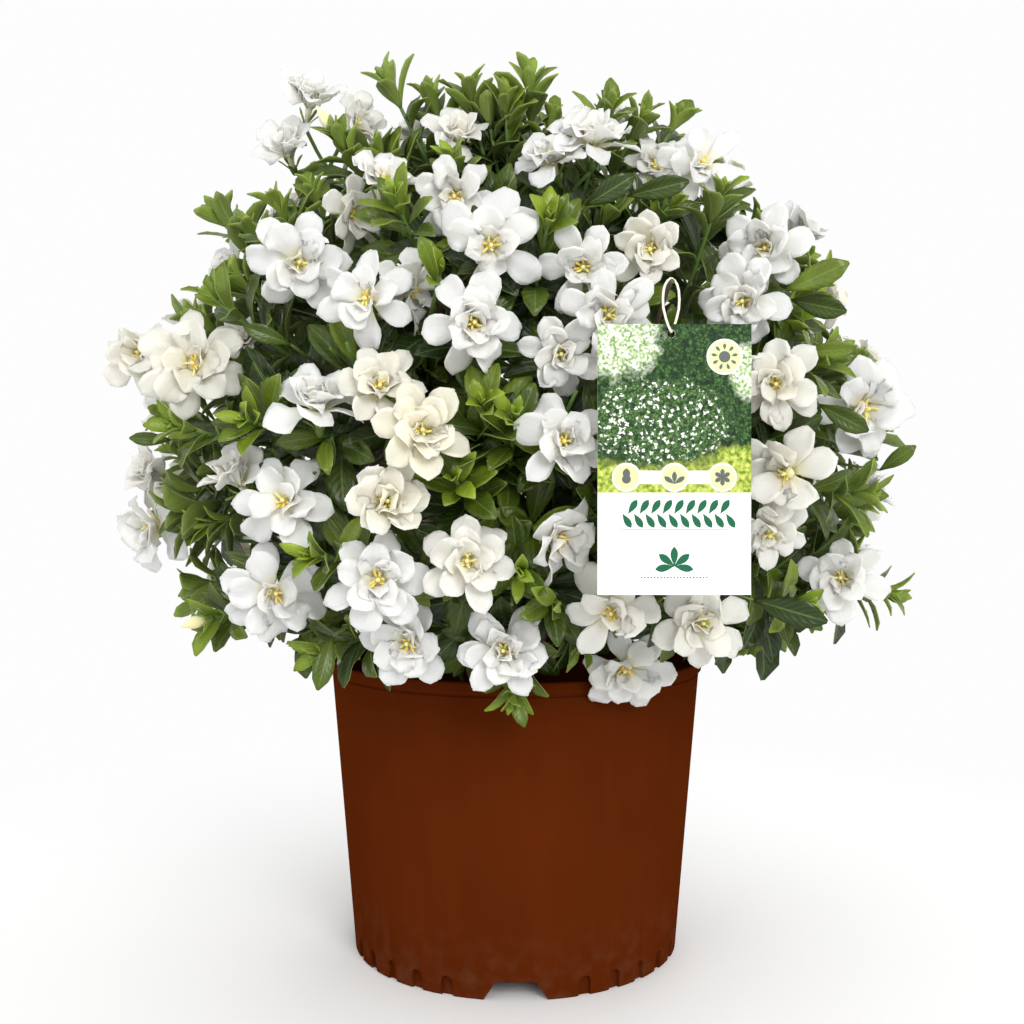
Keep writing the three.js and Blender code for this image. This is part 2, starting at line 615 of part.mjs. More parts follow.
// One bloom on its stalk. Two rings of six corners make a band of triangles round its throat:
// an outer petal grows from each that points up, and an inner petal from each that points down.
function bloomHead(bloom, stalk, endRadius, random) {
  const { centre, facing, across } = bloom;
  const shell = new Shell();
  const spin = random() * Math.PI;
  const upwards = facings([centre, ...stalk]).map((downwards) => downwards.negate());
  const height = BLOOM.throatHeight * across;
  const upperPlace = centre.clone().addScaledVector(facing, height / 2);
  const lowerPlace = centre.clone().addScaledVector(facing, -height / 2);
  const throat = BLOOM.throatRadius * across;
  const upper = shell.ring(upperPlace, facing, throat * 0.85, BLOOM.petals, spin + Math.PI / BLOOM.petals);
  const lower = shell.ring(lowerPlace, facing, throat, BLOOM.petals, spin);
  const tilts = [BLOOM.outer, BLOOM.inner].map((whorl) => (
    THREE.MathUtils.lerp(whorl.cupTilt, whorl.openTilt, bloom.open)
  ));
  lower.forEach((left, i) => {
    const next = (i + 1) % BLOOM.petals;
    const corners = [
      { grow: outerPetal, root: [lower[next], left, upper[i]], whorl: BLOOM.outer, tilt: tilts[0] },
      { grow: innerPetal, root: [upper[next], upper[i], lower[next]], whorl: BLOOM.inner, tilt: tilts[1] },
    ];
    corners.forEach(({ grow, root, whorl, tilt }) => {
      const [a, b] = root.map((corner) => shell.points[corner]);
      const middle = a.clone().lerp(b, 0.5);
      const outward = middle.clone().sub(centre);
      outward.addScaledVector(facing, -outward.dot(facing)).normalize();
      const lean = (tilt + (random() - 0.5) * BLOOM.uneven) * RADIANS;
      const length = whorl.length * across * (0.94 + 0.12 * random());
      grow(shell, root, middle, bladeFrame(facing, outward, lean), length, whorl.width * across);
    });
  });
  const tip = shell.point(centre.clone().addScaledVector(facing, BLOOM.tip * across));
  upper.forEach((corner, i) => shell.face(tip, corner, upper[(i + 1) % BLOOM.petals]));

  // The throat narrows from six corners to the three of the stalk
  const first = shell.ring(stalk[0], upwards[1], PEDUNCLE.radius, 3, spin);
  first.forEach((corner, i) => {
    const [a, b, c] = [2 * i, 2 * i + 1, (2 * i + 2) % BLOOM.petals].map((place) => lower[place]);
    const next = first[(i + 1) % 3];
    shell.face(b, a, corner);
    shell.face(b, corner, next);
    shell.face(c, b, next);
  });
  const rings = stalk.slice(1).map((point, i) => {
    const radius = i === stalk.length - 2 ? endRadius : PEDUNCLE.radius;
    return shell.ring(point, upwards[i + 2], radius, 3, spin);
  });
  [first, ...rings].forEach((ring, i) => {
    if (i < rings.length) shell.band(rings[i], ring);
    else shell.face(...ring.slice().reverse());
  });
  return shell.solid();
}

// The blooms that share a stalk, with the point where their stalks meet
function sprays(blooms) {
  const letters = [...new Set(blooms.map((bloom) => bloom.spray))];
  return letters.map((letter, index) => {
    const members = blooms.filter((bloom) => bloom.spray === letter);
    const meeting = members.reduce((sum, bloom) => sum.add(bloomBase(bloom)), new THREE.Vector3());
    meeting.divideScalar(members.length);
    if (members.length > 1) {
      meeting.addScaledVector(HEART.clone().sub(meeting).normalize(), PEDUNCLE.gather);
    }
    return { members, meeting, seed: 100 + index };
  });
}

// The branch whose cone round the heart of the plant a point lies in
function nearestBranch(frames, point) {
  const outward = point.clone().sub(HEART).normalize();
  return frames.reduce((best, frame) => (
    frame.outward.dot(outward) > best.outward.dot(outward) ? frame : best
  ));
}

// Gives each target its start on the branch's leader: the more it lies aside, the lower it starts
function shareLeaders(frames) {
  frames.forEach((frame) => {
    const [foot, top] = frame.leader;
    const branching = ({ point }) => {
      const offset = point.clone().sub(foot);
      const ahead = offset.dot(frame.along);
      return ahead - offset.addScaledVector(frame.along, -ahead).length();
    };
    frame.targets.sort((a, b) => branching(a) - branching(b));
    frame.targets.forEach((target, i) => {
      const share = THREE.MathUtils.lerp(LEADER.first, LEADER.last, (i + 0.5) / frame.targets.length);
      target.start = foot.clone().lerp(top, share);
      target.frame = frame;
    });
  });
}

// Ways from one point to another: the straight one first, then more and more bent ones
function* ways(from, to, knee, sag) {
  const span = from.distanceTo(to);
  const along = to.clone().sub(from).normalize();
  const side = along.clone().cross(UP).normalize();
  const over = side.clone().cross(along);
  for (const size of BENDS.sizes) {
    const bends = size === 0 ? 1 : BENDS.directions;
    for (let i = 0; i < bends; i += 1) {
      const angle = (i / bends) * 2 * Math.PI;
      const middle = from.clone().lerp(to, knee)
        .addScaledVector(UP, -sag * span)
        .addScaledVector(side, size * Math.cos(angle))
        .addScaledVector(over, size * Math.sin(angle));
      yield size === 0 && sag === 0 ? [from, to] : [from, middle, to];
    }
  }
}

function fatStem(points, fromRadius, toRadius) {
  return stem(points, 2 * GAP + fromRadius, 2 * GAP + toRadius, TWIG.sides);
}

// The stalk of a spray meets the end of the branch's twig, with a clear cut between them
function cutStalk(points) {
  const end = points[points.length - 1];
  const along = end.clone().sub(points[points.length - 2]).normalize();
  const cut = end.clone().addScaledVector(along, -PEDUNCLE.length);
  return {
    twigPoints: [...points.slice(0, -1), cut],
    stalkStart: cut.clone().addScaledVector(along, GAP),
  };
}

function sprayHead(spray, stalkStart) {
  const random = numbers(spray.seed);
  const { members, meeting } = spray;
  if (members.length === 1) {
    return bloomHead(members[0], [meeting, stalkStart], PEDUNCLE.radius, random);
  }
  const heads = members.map((bloom, i) => {
    const base = bloomBase(bloom);
    if (i === 0) return bloomHead(bloom, [base, meeting, stalkStart], PEDUNCLE.radius, random);
    const joint = meeting.clone().lerp(stalkStart, PEDUNCLE.joints[i] / PEDUNCLE.length);
    return bloomHead(bloom, [base, joint], PEDUNCLE.jointRadius, random);
  });
  return joined(heads);
}

// Finds each spray a clear way from its branch, and makes its twig and its blooms
function makeSprays(list, neighbours) {
  const options = list.map((spray) => (
    [...ways(spray.start, spray.meeting, BENDS.knee, 0)].map(cutStalk)
  ));
  list.forEach((spray, i) => {
    spray.head = sprayHead(spray, options[i][0].stalkStart);
    neighbours.add(spray.head, spray);
  });
  list.forEach((spray, i) => {
    const isOwn = (owner) => owner.frame === spray.frame && !owner.members;
    const way = options[i].find(({ twigPoints }) => (
      neighbours.isClear(fatStem(twigPoints, TWIG.baseRadius, PEDUNCLE.radius), isOwn)
    ));
    spray.blocked = !way;
    const { twigPoints, stalkStart } = way ?? options[i][0];
    neighbours.remove(spray);
    spray.head = sprayHead(spray, stalkStart);
    neighbours.add(spray.head, spray);
    const twig = stem(twigPoints, TWIG.baseRadius, PEDUNCLE.radius, TWIG.sides);
    spray.frame.pieces.push(twig);
    neighbours.add(twig, { frame: spray.frame });
  });
}

// A leaf on the root triangle left, right and top: folded along its midrib and arched
function leafPoints(root, frame, length, extra) {
  const width = LEAF.width * length + 2 * extra;
  const place = (reach, side) => {
    const lift = LEAF.fold * Math.abs(side) - LEAF.arch * reach * reach;
    return bladePoint(root, frame, reach * (length + extra), side * width, lift * length - extra);
  };
  return [place(LEAF.waist, -0.5), place(1, 0), place(LEAF.waist, 0.5)];
}

function growLeaf(shell, [left, right, top], points) {
  const [leftSide, tip, rightSide] = points.map((place) => shell.point(place));
  shell.face(top, right, rightSide, tip);
  shell.face(top, tip, leftSide, left);
  shell.face(left, leftSide, tip);
  shell.face(right, tip, rightSide);
  shell.face(left, tip, right);
}

// A closed leaf by itself, larger all round by extra, to try whether a leaf has room
function looseLeaf(corners, root, frame, length, extra) {
  const shell = new Shell();
  const lifts = [-extra, -extra, extra];
  const base = corners.map((corner, i) => shell.point(corner.clone().addScaledVector(frame.face, lifts[i])));
  growLeaf(shell, base, leafPoints(root, frame, length, extra));
  shell.face(...base);
  return shell.solid();
}

// A shoot: a three-sided stem with whorls of three leaves, which turn by a half step each time
function leafyShoot(shoot, way, random, neighbours) {
  const shell = new Shell();
  const [from, knee, tip] = way;
  const axis = tip.clone().sub(knee).normalize();
  const normals = facings(way);
  let turn = random() * Math.PI;
  let last = shell.ring(from, normals[0], TWIG.baseRadius, 3, turn);
  shell.face(...last.slice().reverse());
  const climb = (place, normal, radius) => {
    const ring = shell.ring(place, normal, radius, 3, turn);
    shell.band(last, ring);
    last = ring;
  };
  climb(knee, normals[1], TWIG.radius);
  WHORLS.slice(WHORLS.length - shoot.whorls).forEach((whorl) => {
    climb(tip.clone().addScaledVector(axis, -whorl.back), axis, TWIG.tipRadius);
    turn += Math.PI / 3;
    const top = tip.clone().addScaledVector(axis, -whorl.back + LEAF.root);
    const upper = shell.ring(top, axis, TWIG.tipRadius, 3, turn);
    last.forEach((corner, i) => {
      const next = last[(i + 1) % 3];
      const root = [next, corner, upper[i]];
      const corners = root.map((place) => shell.points[place]);
      const middle = corners[0].clone().lerp(corners[1], 0.5);
      const outward = corners[2].clone().sub(top).normalize();
      const spread = (whorl.spread + (random() - 0.5) * 16) * RADIANS;
      const frame = bladeFrame(axis, outward, Math.PI / 2 - spread);
      const length = whorl.length * (0.88 + 0.24 * random());
      const room = looseLeaf(corners, middle, frame, length, 1.5 * GAP);
      if (neighbours.isClear(room, (owner) => owner === shoot)) {
        growLeaf(shell, root, leafPoints(middle, frame, length, 0));
        neighbours.add(looseLeaf(corners, middle, frame, length, 0), shoot);
      } else {
        shell.face(corner, next, upper[i]);
      }
      shell.face(next, upper[(i + 1) % 3], upper[i]);
    });
    last = upper;
  });
  const bud = shell.point(tip.clone().addScaledVector(axis, LEAF.bud));
  last.forEach((corner, i) => shell.face(corner, last[(i + 1) % 3], bud));
  return shell.solid();
}

function shoots(taken) {
  const seen = SEEN_SHOOTS.map((shoot) => ({ whorls: shoot.whorls, point: seenPoint(shoot) }));
  const others = [...taken, ...seen.map(({ point }) => point)];
  const back = backPoints(BACK_SHOOTS, others).map((point) => ({ point, whorls: BACK_SHOOTS.whorls }));
  return [...seen, ...back];
}

function makeShoots(list, neighbours) {
  const clearWay = (shoot) => {
    const isOwn = (owner) => owner.frame === shoot.frame && !owner.members;
    return [...ways(shoot.start, shoot.point, BENDS.knee, BENDS.sag)].find((points) => (
      neighbours.isClear(fatStem(points, TWIG.baseRadius, TWIG.tipRadius), isOwn)
    ));
  };
  const grown = list.map((shoot) => {
    const way = clearWay(shoot);
    if (way) neighbours.add(stem(way, TWIG.baseRadius, TWIG.tipRadius, TWIG.sides), shoot);
    return { shoot, way };
  }).filter(({ way }) => way);
  const random = numbers(5);
  grown.forEach(({ shoot, way }) => {
    shoot.frame.pieces.push(leafyShoot(shoot, way, random, neighbours));
  });
}

function tagHole() {
  return new THREE.Vector3(TAG.x + HOLE.offset, TAG.y, TAG.z + TAG.height / 2 - HOLE.below);
}

function tag() {
  const card = new THREE.BoxGeometry(TAG.width, TAG.thickness, TAG.height);
  const front = tagHole().setY(TAG.y - TAG.thickness);
  const back = tagHole().setY(TAG.y + TAG.thickness);
  const cutter = stem([front, back], HOLE.radius, HOLE.radius, HOLE.sides);
  return solid(card.translate(TAG.x, TAG.y, TAG.z)).subtract(cutter);
}

// A string through the card's hole and over the twig, as two half loops that share their ends
function tagLoop() {
  const hole = tagHole();
  const half = [
    [0.6, 2, 1.6],
    [2.2, 2.4, 5],
    [LOOP.width, 1.6, 13],
    [LOOP.width, 0.5, 21],
    [2.7, 0, LOOP.height - 2.4],
  ];
  const knots = [
    [0, 0, 1.05],
    ...half,
    [0, 0, LOOP.height],
    ...half.map(([x, y, z]) => [-x, -y, z]).reverse(),
  ].map((knot) => hole.clone().add(new THREE.Vector3(...knot)));
  const whole = new THREE.CatmullRomCurve3(knots, true, 'centripetal');
  const section = new THREE.Shape();
  for (let i = 0; i < LOOP.sides; i += 1) {
    const angle = (i / LOOP.sides) * 2 * Math.PI;
    const corner = [LOOP.radius * Math.cos(angle), LOOP.radius * Math.sin(angle)];
    if (i === 0) section.moveTo(...corner);
    else section.lineTo(...corner);
  }
  const halves = [0, 0.5].map((first) => {
    const points = Array.from({ length: LOOP.steps + 1 }, (_, i) => {
      const share = first + LOOP.overlap * (2 * (i / LOOP.steps) - 1) + (0.5 * i) / LOOP.steps;
      return whole.getPoint((share + 1) % 1);
    });
    return solid(new THREE.ExtrudeGeometry(section, {
      steps: LOOP.steps,
      bevelEnabled: false,
      extrudePath: new THREE.CatmullRomCurve3(points),
    }));
  });
  return joined(halves);
}

// The bare twig that carries the tag's loop, its end pointing at the front
function loopTwig() {
  const hole = tagHole();
  const height = hole.z + LOOP.height - LOOP.radius - LOOP.twigRadius - LOOP.slack;
  return {
    point: new THREE.Vector3(hole.x + 1, TAG.y + LOOP.twigReach, height - 2),
    tip: new THREE.Vector3(hole.x, TAG.y - LOOP.twigEnd, height),
  };
}

function gardenia() {
  const frames = branchFrames();
  const fixed = { pot: pot(), trunk: trunk(frames), tag: tag(), tag_loop: tagLoop() };
  const front = seenBlooms();
  const blooms = [...front, ...backBlooms(front.map((bloom) => bloom.centre))];
  const list = sprays(blooms);
  const leafy = shoots(blooms.map((bloom) => bloom.centre));
  const holder = loopTwig();

  list.forEach((spray) => {
    spray.point = spray.meeting;
  });
  [...list, ...leafy, holder].forEach((target) => {
    nearestBranch(frames, target.point).targets.push(target);
  });
  shareLeaders(frames);

  const neighbours = new Neighbours();
  Object.values(fixed).forEach((piece) => neighbours.add(piece, {}));
  frames.forEach((frame) => {
    const leader = stem(frame.leader, LEADER.radius, LEADER.topRadius, LEADER.sides);
    frame.pieces.push(leader);
    neighbours.add(leader, { frame });
  });
  const twig = stem([holder.start, holder.point, holder.tip], TWIG.baseRadius, LOOP.twigRadius, TWIG.sides);
  holder.frame.pieces.push(twig);
  neighbours.add(twig, { frame: holder.frame });
  makeSprays(list, neighbours);
  makeShoots(leafy, neighbours);

  const group = new THREE.Group();
  group.add(meshOf('pot', fixed.pot, PLASTIC));
  group.add(meshOf('soil', soil(), EARTH));
  group.add(meshOf('trunk', fixed.trunk, BARK));
  frames.forEach((frame) => group.add(meshOf(frame.name, joined(frame.pieces), FOLIAGE)));
  list.forEach((spray, i) => {
    const number = String(i + 1).padStart(2, '0');
    group.add(meshOf(`bloom_spray_${number}`, spray.head, PETALS));
  });
  group.add(meshOf('tag', fixed.tag, CARD));
  group.add(meshOf('tag_loop', fixed.tag_loop, STRING));
  return group;
}

export default gardenia();
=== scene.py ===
"""A potted gardenia in full bloom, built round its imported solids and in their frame.

The plant is laid out in millimetres, +Z up, with its front towards -Y. Meshes are in metres.
"""
import math
from collections import namedtuple

import bmesh
import bpy
import numpy as np
from bpy.props import FloatProperty, FloatVectorProperty, IntProperty, PointerProperty
from bpy.types import Operator, Panel, PropertyGroup
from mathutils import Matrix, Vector, noise


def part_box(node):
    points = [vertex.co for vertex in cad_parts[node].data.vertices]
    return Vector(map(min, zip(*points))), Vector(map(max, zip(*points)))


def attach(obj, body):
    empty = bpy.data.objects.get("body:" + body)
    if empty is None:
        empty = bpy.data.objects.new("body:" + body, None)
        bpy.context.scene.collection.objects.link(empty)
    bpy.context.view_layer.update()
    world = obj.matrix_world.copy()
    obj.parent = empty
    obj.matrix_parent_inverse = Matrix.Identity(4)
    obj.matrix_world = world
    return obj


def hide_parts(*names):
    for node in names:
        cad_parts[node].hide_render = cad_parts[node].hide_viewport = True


bl_info = {
    "name": "Potted gardenia",
    "version": (1, 0, 0),
    "blender": (4, 5, 0),
    "location": "3D View > Sidebar > Gardenia",
    "description": "Builds a gardenia in full bloom in its nursery pot, with a hang tag",
    "category": "Add Mesh",
}

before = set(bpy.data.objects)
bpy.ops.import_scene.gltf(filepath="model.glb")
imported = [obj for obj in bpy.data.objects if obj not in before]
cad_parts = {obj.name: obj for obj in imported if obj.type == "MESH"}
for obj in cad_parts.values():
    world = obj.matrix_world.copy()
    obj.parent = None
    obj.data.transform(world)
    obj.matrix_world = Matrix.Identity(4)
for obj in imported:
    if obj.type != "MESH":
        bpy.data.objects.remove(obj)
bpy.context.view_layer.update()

MM = 0.001
BODY = "root"
UP = Vector((0, 0, 1))

# The woody frame, in millimetres and degrees, as in the solids
HEART = Vector((0, 0, 330))
Ring = namedtuple("Ring", "name count azimuth elevation reach")
RINGS = (
    Ring("low", 5, 270, -18, 96),
    Ring("middle", 4, 315, 20, 100),
    Ring("top", 3, 270, 60, 105),
)
STEM_FOOT = 120.3
FIRST_FORK = 188
LAST_FORK = 222
STEM_RADIUS = 8
STEM_TOP_RADIUS = 6
ARM_KNEE = 0.55
ARM_SAG = 14
LEADER_LENGTH = 44
LEADER_FIRST = 0.12
TWIG_RADIUS = 1.7
TWIG_TIP_RADIUS = 1.1
STALK_RADIUS = 1.4
STALK_LENGTH = 14
STALK_GATHER = 10
STALK_JOINTS = (0, 3, 7)
GAP = 0.3

# Radii of a rod in millimetres, spread evenly from its foot to its tip
ARM_RADII = (4.8, 4.2, 3.2)
LEADER_RADII = (3, 2.3, 1.2)
SHOOT_RADII = (TWIG_RADIUS, TWIG_RADIUS, TWIG_TIP_RADIUS)
HOLDER_RADII = (TWIG_RADIUS, 1.4, 1.3)
LEAF_TWIG_RADII = (TWIG_RADIUS, 1.3, 0.8)
SPRAY_RADII = (TWIG_RADIUS, TWIG_RADIUS, STALK_RADIUS)
STALK_RADII = (STALK_RADIUS, STALK_RADIUS)
CALYX_RADII = (1.3, 2.5, 3, 2.6)
TUBE_RADII = (1.9, 2.1, 2.6)
BUD_RADII = (2.2, 3.1, 3.9, 4.1, 3.2, 1.6, 0.4)
ANTHER_RADII = (0.4, 0.8, 0.75, 0.3)
STIGMA_RADII = (0.7, 0.8, 1.6, 0.7)

# The crown is a dome, round above its widest height and squarer below it
WIDEST = 370
DOME_RADIUS = 285
DOME_RISE = 272
DOME_DROP = 160
UPPER_POWER = 2
LOWER_POWER = 3.5

# Places seen from the front are given by the point of a 1024 x 1024 view where they show. SIGHT
# holds the distances, in mm from the eye, at which a line of sight is tried
EYE = Vector((-2.6, -925, 335))
PITCH = math.radians(0.66)
FOCAL = 1214
VIEW_SIZE = 1024
SIGHT = range(560, 1151)

# Blooms seen from the front: place in the view, width in mm, degrees that they face to the right
# of and above the viewer, how open they are, the level of the dome where they sit, the spray that
# they are on, and how cream they are
Seen = namedtuple("Seen", "px py across turn lift opening level spray cream")
SEEN_BLOOMS = [Seen(*row) for row in (
    (310, 104, 54, 20, 62, 0.25, 0.95, "a", 0.1),
    (289, 153, 52, -20, 50, 0.2, 0.95, "a", 0.05),
    (356, 127, 46, 40, 30, 0.5, 0.84, "a", 0.3),
    (350, 214, 46, 35, 5, 0.7, 0.86, "b", 0.35),
    (382, 184, 48, 15, 65, 0.5, 0.92, "b", 0.15),
    (299, 262, 58, 0, 0, 0.85, 0.94, "c", 0),
    (236, 272, 46, -60, 10, 0.7, 0.86, "c", 0.1),
    (368, 299, 52, -20, 5, 0.8, 0.94, "d", 0),
    (408, 290, 46, 55, 0, 0.8, 0.86, "d", 0.1),
    (143, 352, 56, -35, 0, 0.7, 0.93, "e", 0.6),
    (194, 364, 64, -8, 5, 0.75, 0.95, "e", 0.6),
    (244, 342, 36, -20, 40, 0.3, 0.82, "f", 0.3),
    (317, 407, 56, -10, 58, 0.6, 0.94, "g", 0.05),
    (379, 390, 48, 5, 28, 0.7, 0.92, "h", 0.7),
    (421, 432, 54, 8, 12, 0.55, 0.95, "h", 1),
    (386, 503, 52, 8, 10, 0.5, 0.95, "i", 0.75),
    (378, 580, 56, 0, 0, 0.95, 0.96, "i", 0),
    (408, 642, 54, -10, -12, 0.85, 0.93, "i", 0),
    (274, 592, 60, 8, -8, 0.95, 0.94, "j", 0),
    (285, 502, 54, -15, 10, 0.8, 0.92, "k", 0.05),
    (240, 482, 48, -40, 50, 0.2, 0.9, "k", 0.25),
    (155, 525, 64, -70, -15, 0.75, 0.94, "l", 0),
    (160, 476, 50, -65, 30, 0.2, 0.92, "l", 0.25),
    (466, 562, 52, 5, 5, 0.8, 0.92, "m", 0.4),
    (503, 650, 54, 0, -5, 0.8, 0.94, "n", 0),
    (556, 538, 50, 50, -20, 0.55, 0.88, "o", 0.1),
    (562, 442, 53, 12, 5, 0.7, 0.92, "p", 0.05),
    (473, 322, 54, 8, 0, 0.7, 0.96, "q", 0.05),
    (490, 245, 60, 5, 0, 0.9, 0.95, "r", 0),
    (455, 198, 52, -5, 10, 0.8, 0.88, "r", 0.1),
    (560, 354, 46, 8, 0, 0.7, 0.88, "s", 0.1),
    (583, 267, 50, 0, 0, 0.8, 0.91, "t", 0.05),
    (651, 249, 48, -5, 0, 0.45, 0.92, "t", 0.55),
    (608, 314, 52, 5, -5, 0.85, 0.94, "t", 0),
    (592, 142, 54, 5, 68, 0.75, 0.94, "u", 0.05),
    (552, 160, 48, -25, 58, 0.8, 0.9, "u", 0),
    (702, 165, 52, 10, 25, 0.8, 0.95, "v", 0),
    (656, 168, 44, 10, 30, 0.7, 0.86, "v", 0.25),
    (767, 248, 54, -12, 0, 0.6, 0.94, "w", 0),
    (744, 300, 53, -10, -5, 0.75, 0.92, "w", 0),
    (775, 384, 52, 5, 0, 0.7, 0.93, "x", 0.5),
    (862, 408, 64, 30, -5, 0.8, 0.94, "y", 0),
    (788, 473, 60, -22, -5, 0.7, 0.94, "z", 0.45),
    (770, 532, 42, 0, -30, 0.6, 0.9, "z", 0.3),
    (841, 578, 54, -2, 0, 0.7, 0.95, "A", 0.05),
    (612, 612, 54, -5, -10, 0.8, 0.93, "B", 0.45),
    (625, 668, 56, 0, -20, 0.85, 0.94, "B", 0.1),
    (702, 622, 56, 8, -8, 0.7, 0.92, "C", 0.45),
    (457, 140, 46, 10, 45, 0.5, 0.88, "D", 0.3),
)]

# Tips of the leafy shoots seen from the front, and the level of the dome that they reach
Tip = namedtuple("Tip", "px py level")
SEEN_SHOOTS = [Tip(*row) for row in (
    (385, 76, 0.98), (428, 88, 0.97), (468, 84, 0.98), (505, 92, 0.97), (530, 72, 1.0),
    (612, 104, 0.97), (645, 112, 0.96), (680, 116, 0.98), (218, 212, 0.98), (275, 200, 0.96),
    (212, 298, 0.97), (182, 428, 0.97), (214, 618, 0.97), (722, 190, 0.98), (818, 280, 0.99),
    (826, 358, 0.98), (862, 494, 0.99), (886, 592, 0.98), (800, 604, 0.97), (440, 272, 0.95),
    (482, 404, 0.93), (515, 418, 0.94), (318, 556, 0.96), (520, 572, 0.935), (578, 388, 0.94),
    (455, 480, 0.9), (394, 200, 0.98), (548, 222, 0.97), (512, 690, 0.955), (325, 650, 0.97),
    (560, 604, 0.935), (334, 134, 0.97), (250, 420, 0.96), (346, 342, 0.95),
)]

# Leaves that are set singly from the front, and dark ones that close gaps deep in the crown: place
# of the root in the view, level of the dome, degrees that the leaf points above the right, length
# in mm and how young it is
SeenLeaf = namedtuple("SeenLeaf", "px py level angle length young")
SEEN_LEAVES = [SeenLeaf(*row) for row in (
    (786, 290, 0.98, 22, 40, 0.62), (792, 300, 0.96, -14, 34, 0.25), (806, 352, 0.97, 2, 30, 0.6),
    (754, 600, 0.93, -16, 46, 0.1), (512, 688, 0.95, -72, 27, 0.6), (332, 636, 0.96, -105, 34, 0.45),
    (300, 636, 0.94, -82, 28, 0.3), (448, 258, 0.9, 168, 34, 0.7), (628, 196, 0.93, 12, 38, 0.2),
    (330, 348, 0.92, 130, 44, 0.2), (290, 344, 0.9, 160, 30, 0.3), (170, 440, 0.96, 178, 26, 0.4),
    (226, 500, 0.93, -120, 30, 0.4), (586, 205, 0.93, 30, 34, 0.15), (820, 405, 0.96, -30, 34, 0.3),
    (336, 560, 0.95, 60, 30, 0.7), (512, 605, 0.95, 110, 30, 0.6), (880, 470, 0.97, 35, 28, 0.5),
    (454, 628, 0.7, 174, 44, 0.12), (515, 368, 0.7, 176, 42, 0.15), (662, 631, 0.7, 174, 46, 0.12),
    (693, 290, 0.7, 168, 42, 0.15), (608, 179, 0.75, 165, 36, 0.2), (318, 631, 0.75, 162, 34, 0.15),
)]

# Places that the front view doesn't show: a spiral of points down the dome, from a top to a bottom
# height, each kept where it is behind a given Y and not too near to the places already taken
Spiral = namedtuple("Spiral", "points top bottom nearest level behind")
TURN_STEP = math.radians(137.5)
BACK_SPRAYS = Spiral(26, 632, 236, 62, 0.93, 0)
BACK_SHOOTS = Spiral(78, 634, 228, 46, 0.955, -15)
SPRIGS = Spiral(230, 628, 226, 34, 0.885, -400)
LATE_BLOOMS = Spiral(90, 625, 250, 57, 0.91, -90)
LATE_SEED = 5
LATE_ACROSS = 48
BACK_SEED = 11
BACK_ACROSS = 54
BACK_SPREAD = 31
BACK_TILT = math.radians(20)
TRIPLE_SHARE = 0.5

# Shoots inside the crown: heights and levels of their spiral, and where those go that its top is
# too narrow for
FILLER_SEED = 23
FILLER_TOP = 620
FILLER_BOTTOM = 226
FILLER_LEVELS = (0.88, 0.7, 0.8, 0.6, 0.84)
FILLER_CAP_RADIUS = 40
FILLER_CAP_RISE = 0.9

# Seeds of the leafy branches and of the sprays, to which each adds its own number
BRANCH_SEED = 200
SPRAY_SEED = 100

# Whorls of petals, from the outside in. Lengths are shares of the bloom's width; shut and flat
# are degrees that a petal of the closed and of the open bloom rises, missing is the share of
# petals that a whorl lacks, and cream what a whorl adds to the cream of its bloom
PetalWhorl = namedtuple(
    "PetalWhorl", "count length width root rise shut flat bend cup ruffle missing cream")
PETAL_WHORLS = (
    PetalWhorl(6, 0.53, 0.31, 0.05, -0.04, 62, -8, -50, 0.08, 0.13, 0.04, 0),
    PetalWhorl(5, 0.43, 0.32, 0.045, -0.01, 74, 20, -42, 0.14, 0.18, 0.1, 0.04),
    PetalWhorl(4, 0.32, 0.27, 0.045, 0, 82, 38, -34, 0.18, 0.22, 0.2, 0.16),
    PetalWhorl(3, 0.22, 0.19, 0.05, 0.01, 86, 54, -20, 0.22, 0.26, 0.3, 0.26),
)
LARGE_WHORLS = 2

# Shares of the bloom's width: how far its base is behind its centre, the place and radius of the
# tube's mouth, and the lengths of the anthers and of the stigma
BLOOM_BASE = 0.34
MOUTH_RISE = 0.02
MOUTH_RADIUS = 0.075
ANTHERS = 6
ANTHER_LENGTH = 0.075
ANTHER_GROWTH = 0.055
STIGMA_LENGTH = 0.13

# The calyx and its sepals, in millimetres and degrees, how many petals droop and by how much, and
# how many blooms turn their petals to the right
CALYX_LENGTH = 7
TUBE_START = 5
SEPALS = 6
SEPAL_REACH = 2.2
SEPAL_LENGTH = 9
SEPAL_GROWTH = 4
SEPAL_WIDTH = 2.4
SEPAL_TILT = 62
DROOP_SHARE = 0.24
DROOP = 26
RIGHT_HANDED = 0.75

# Whorls of leaves down a shoot from its tip: distance in mm, degrees from the stem, length in mm,
# how many leaves and how young they are
LeafWhorl = namedtuple("LeafWhorl", "back spread length count young")
TIP_WHORLS = (
    LeafWhorl(0, 9, 13, 3, 1.0),
    LeafWhorl(2.5, 24, 22, 3, 0.94),
    LeafWhorl(9, 36, 28, 3, 0.8),
    LeafWhorl(18, 44, 33, 3, 0.6),
    LeafWhorl(29, 52, 37, 3, 0.42),
    LeafWhorl(42, 58, 41, 3, 0.28),
    LeafWhorl(57, 66, 44, 3, 0.18),
)
COLLAR_WHORLS = (
    LeafWhorl(0, 50, 30, 3, 0.54),
    LeafWhorl(7, 66, 40, 3, 0.34),
    LeafWhorl(20, 60, 44, 3, 0.22),
)
FILLER_WHORLS = (
    LeafWhorl(0, 20, 26, 3, 0.42),
    LeafWhorl(9, 40, 36, 3, 0.26),
    LeafWhorl(20, 56, 44, 3, 0.16),
    LeafWhorl(34, 68, 46, 3, 0.08),
)
SPRIG_WHORLS = TIP_WHORLS[:5]

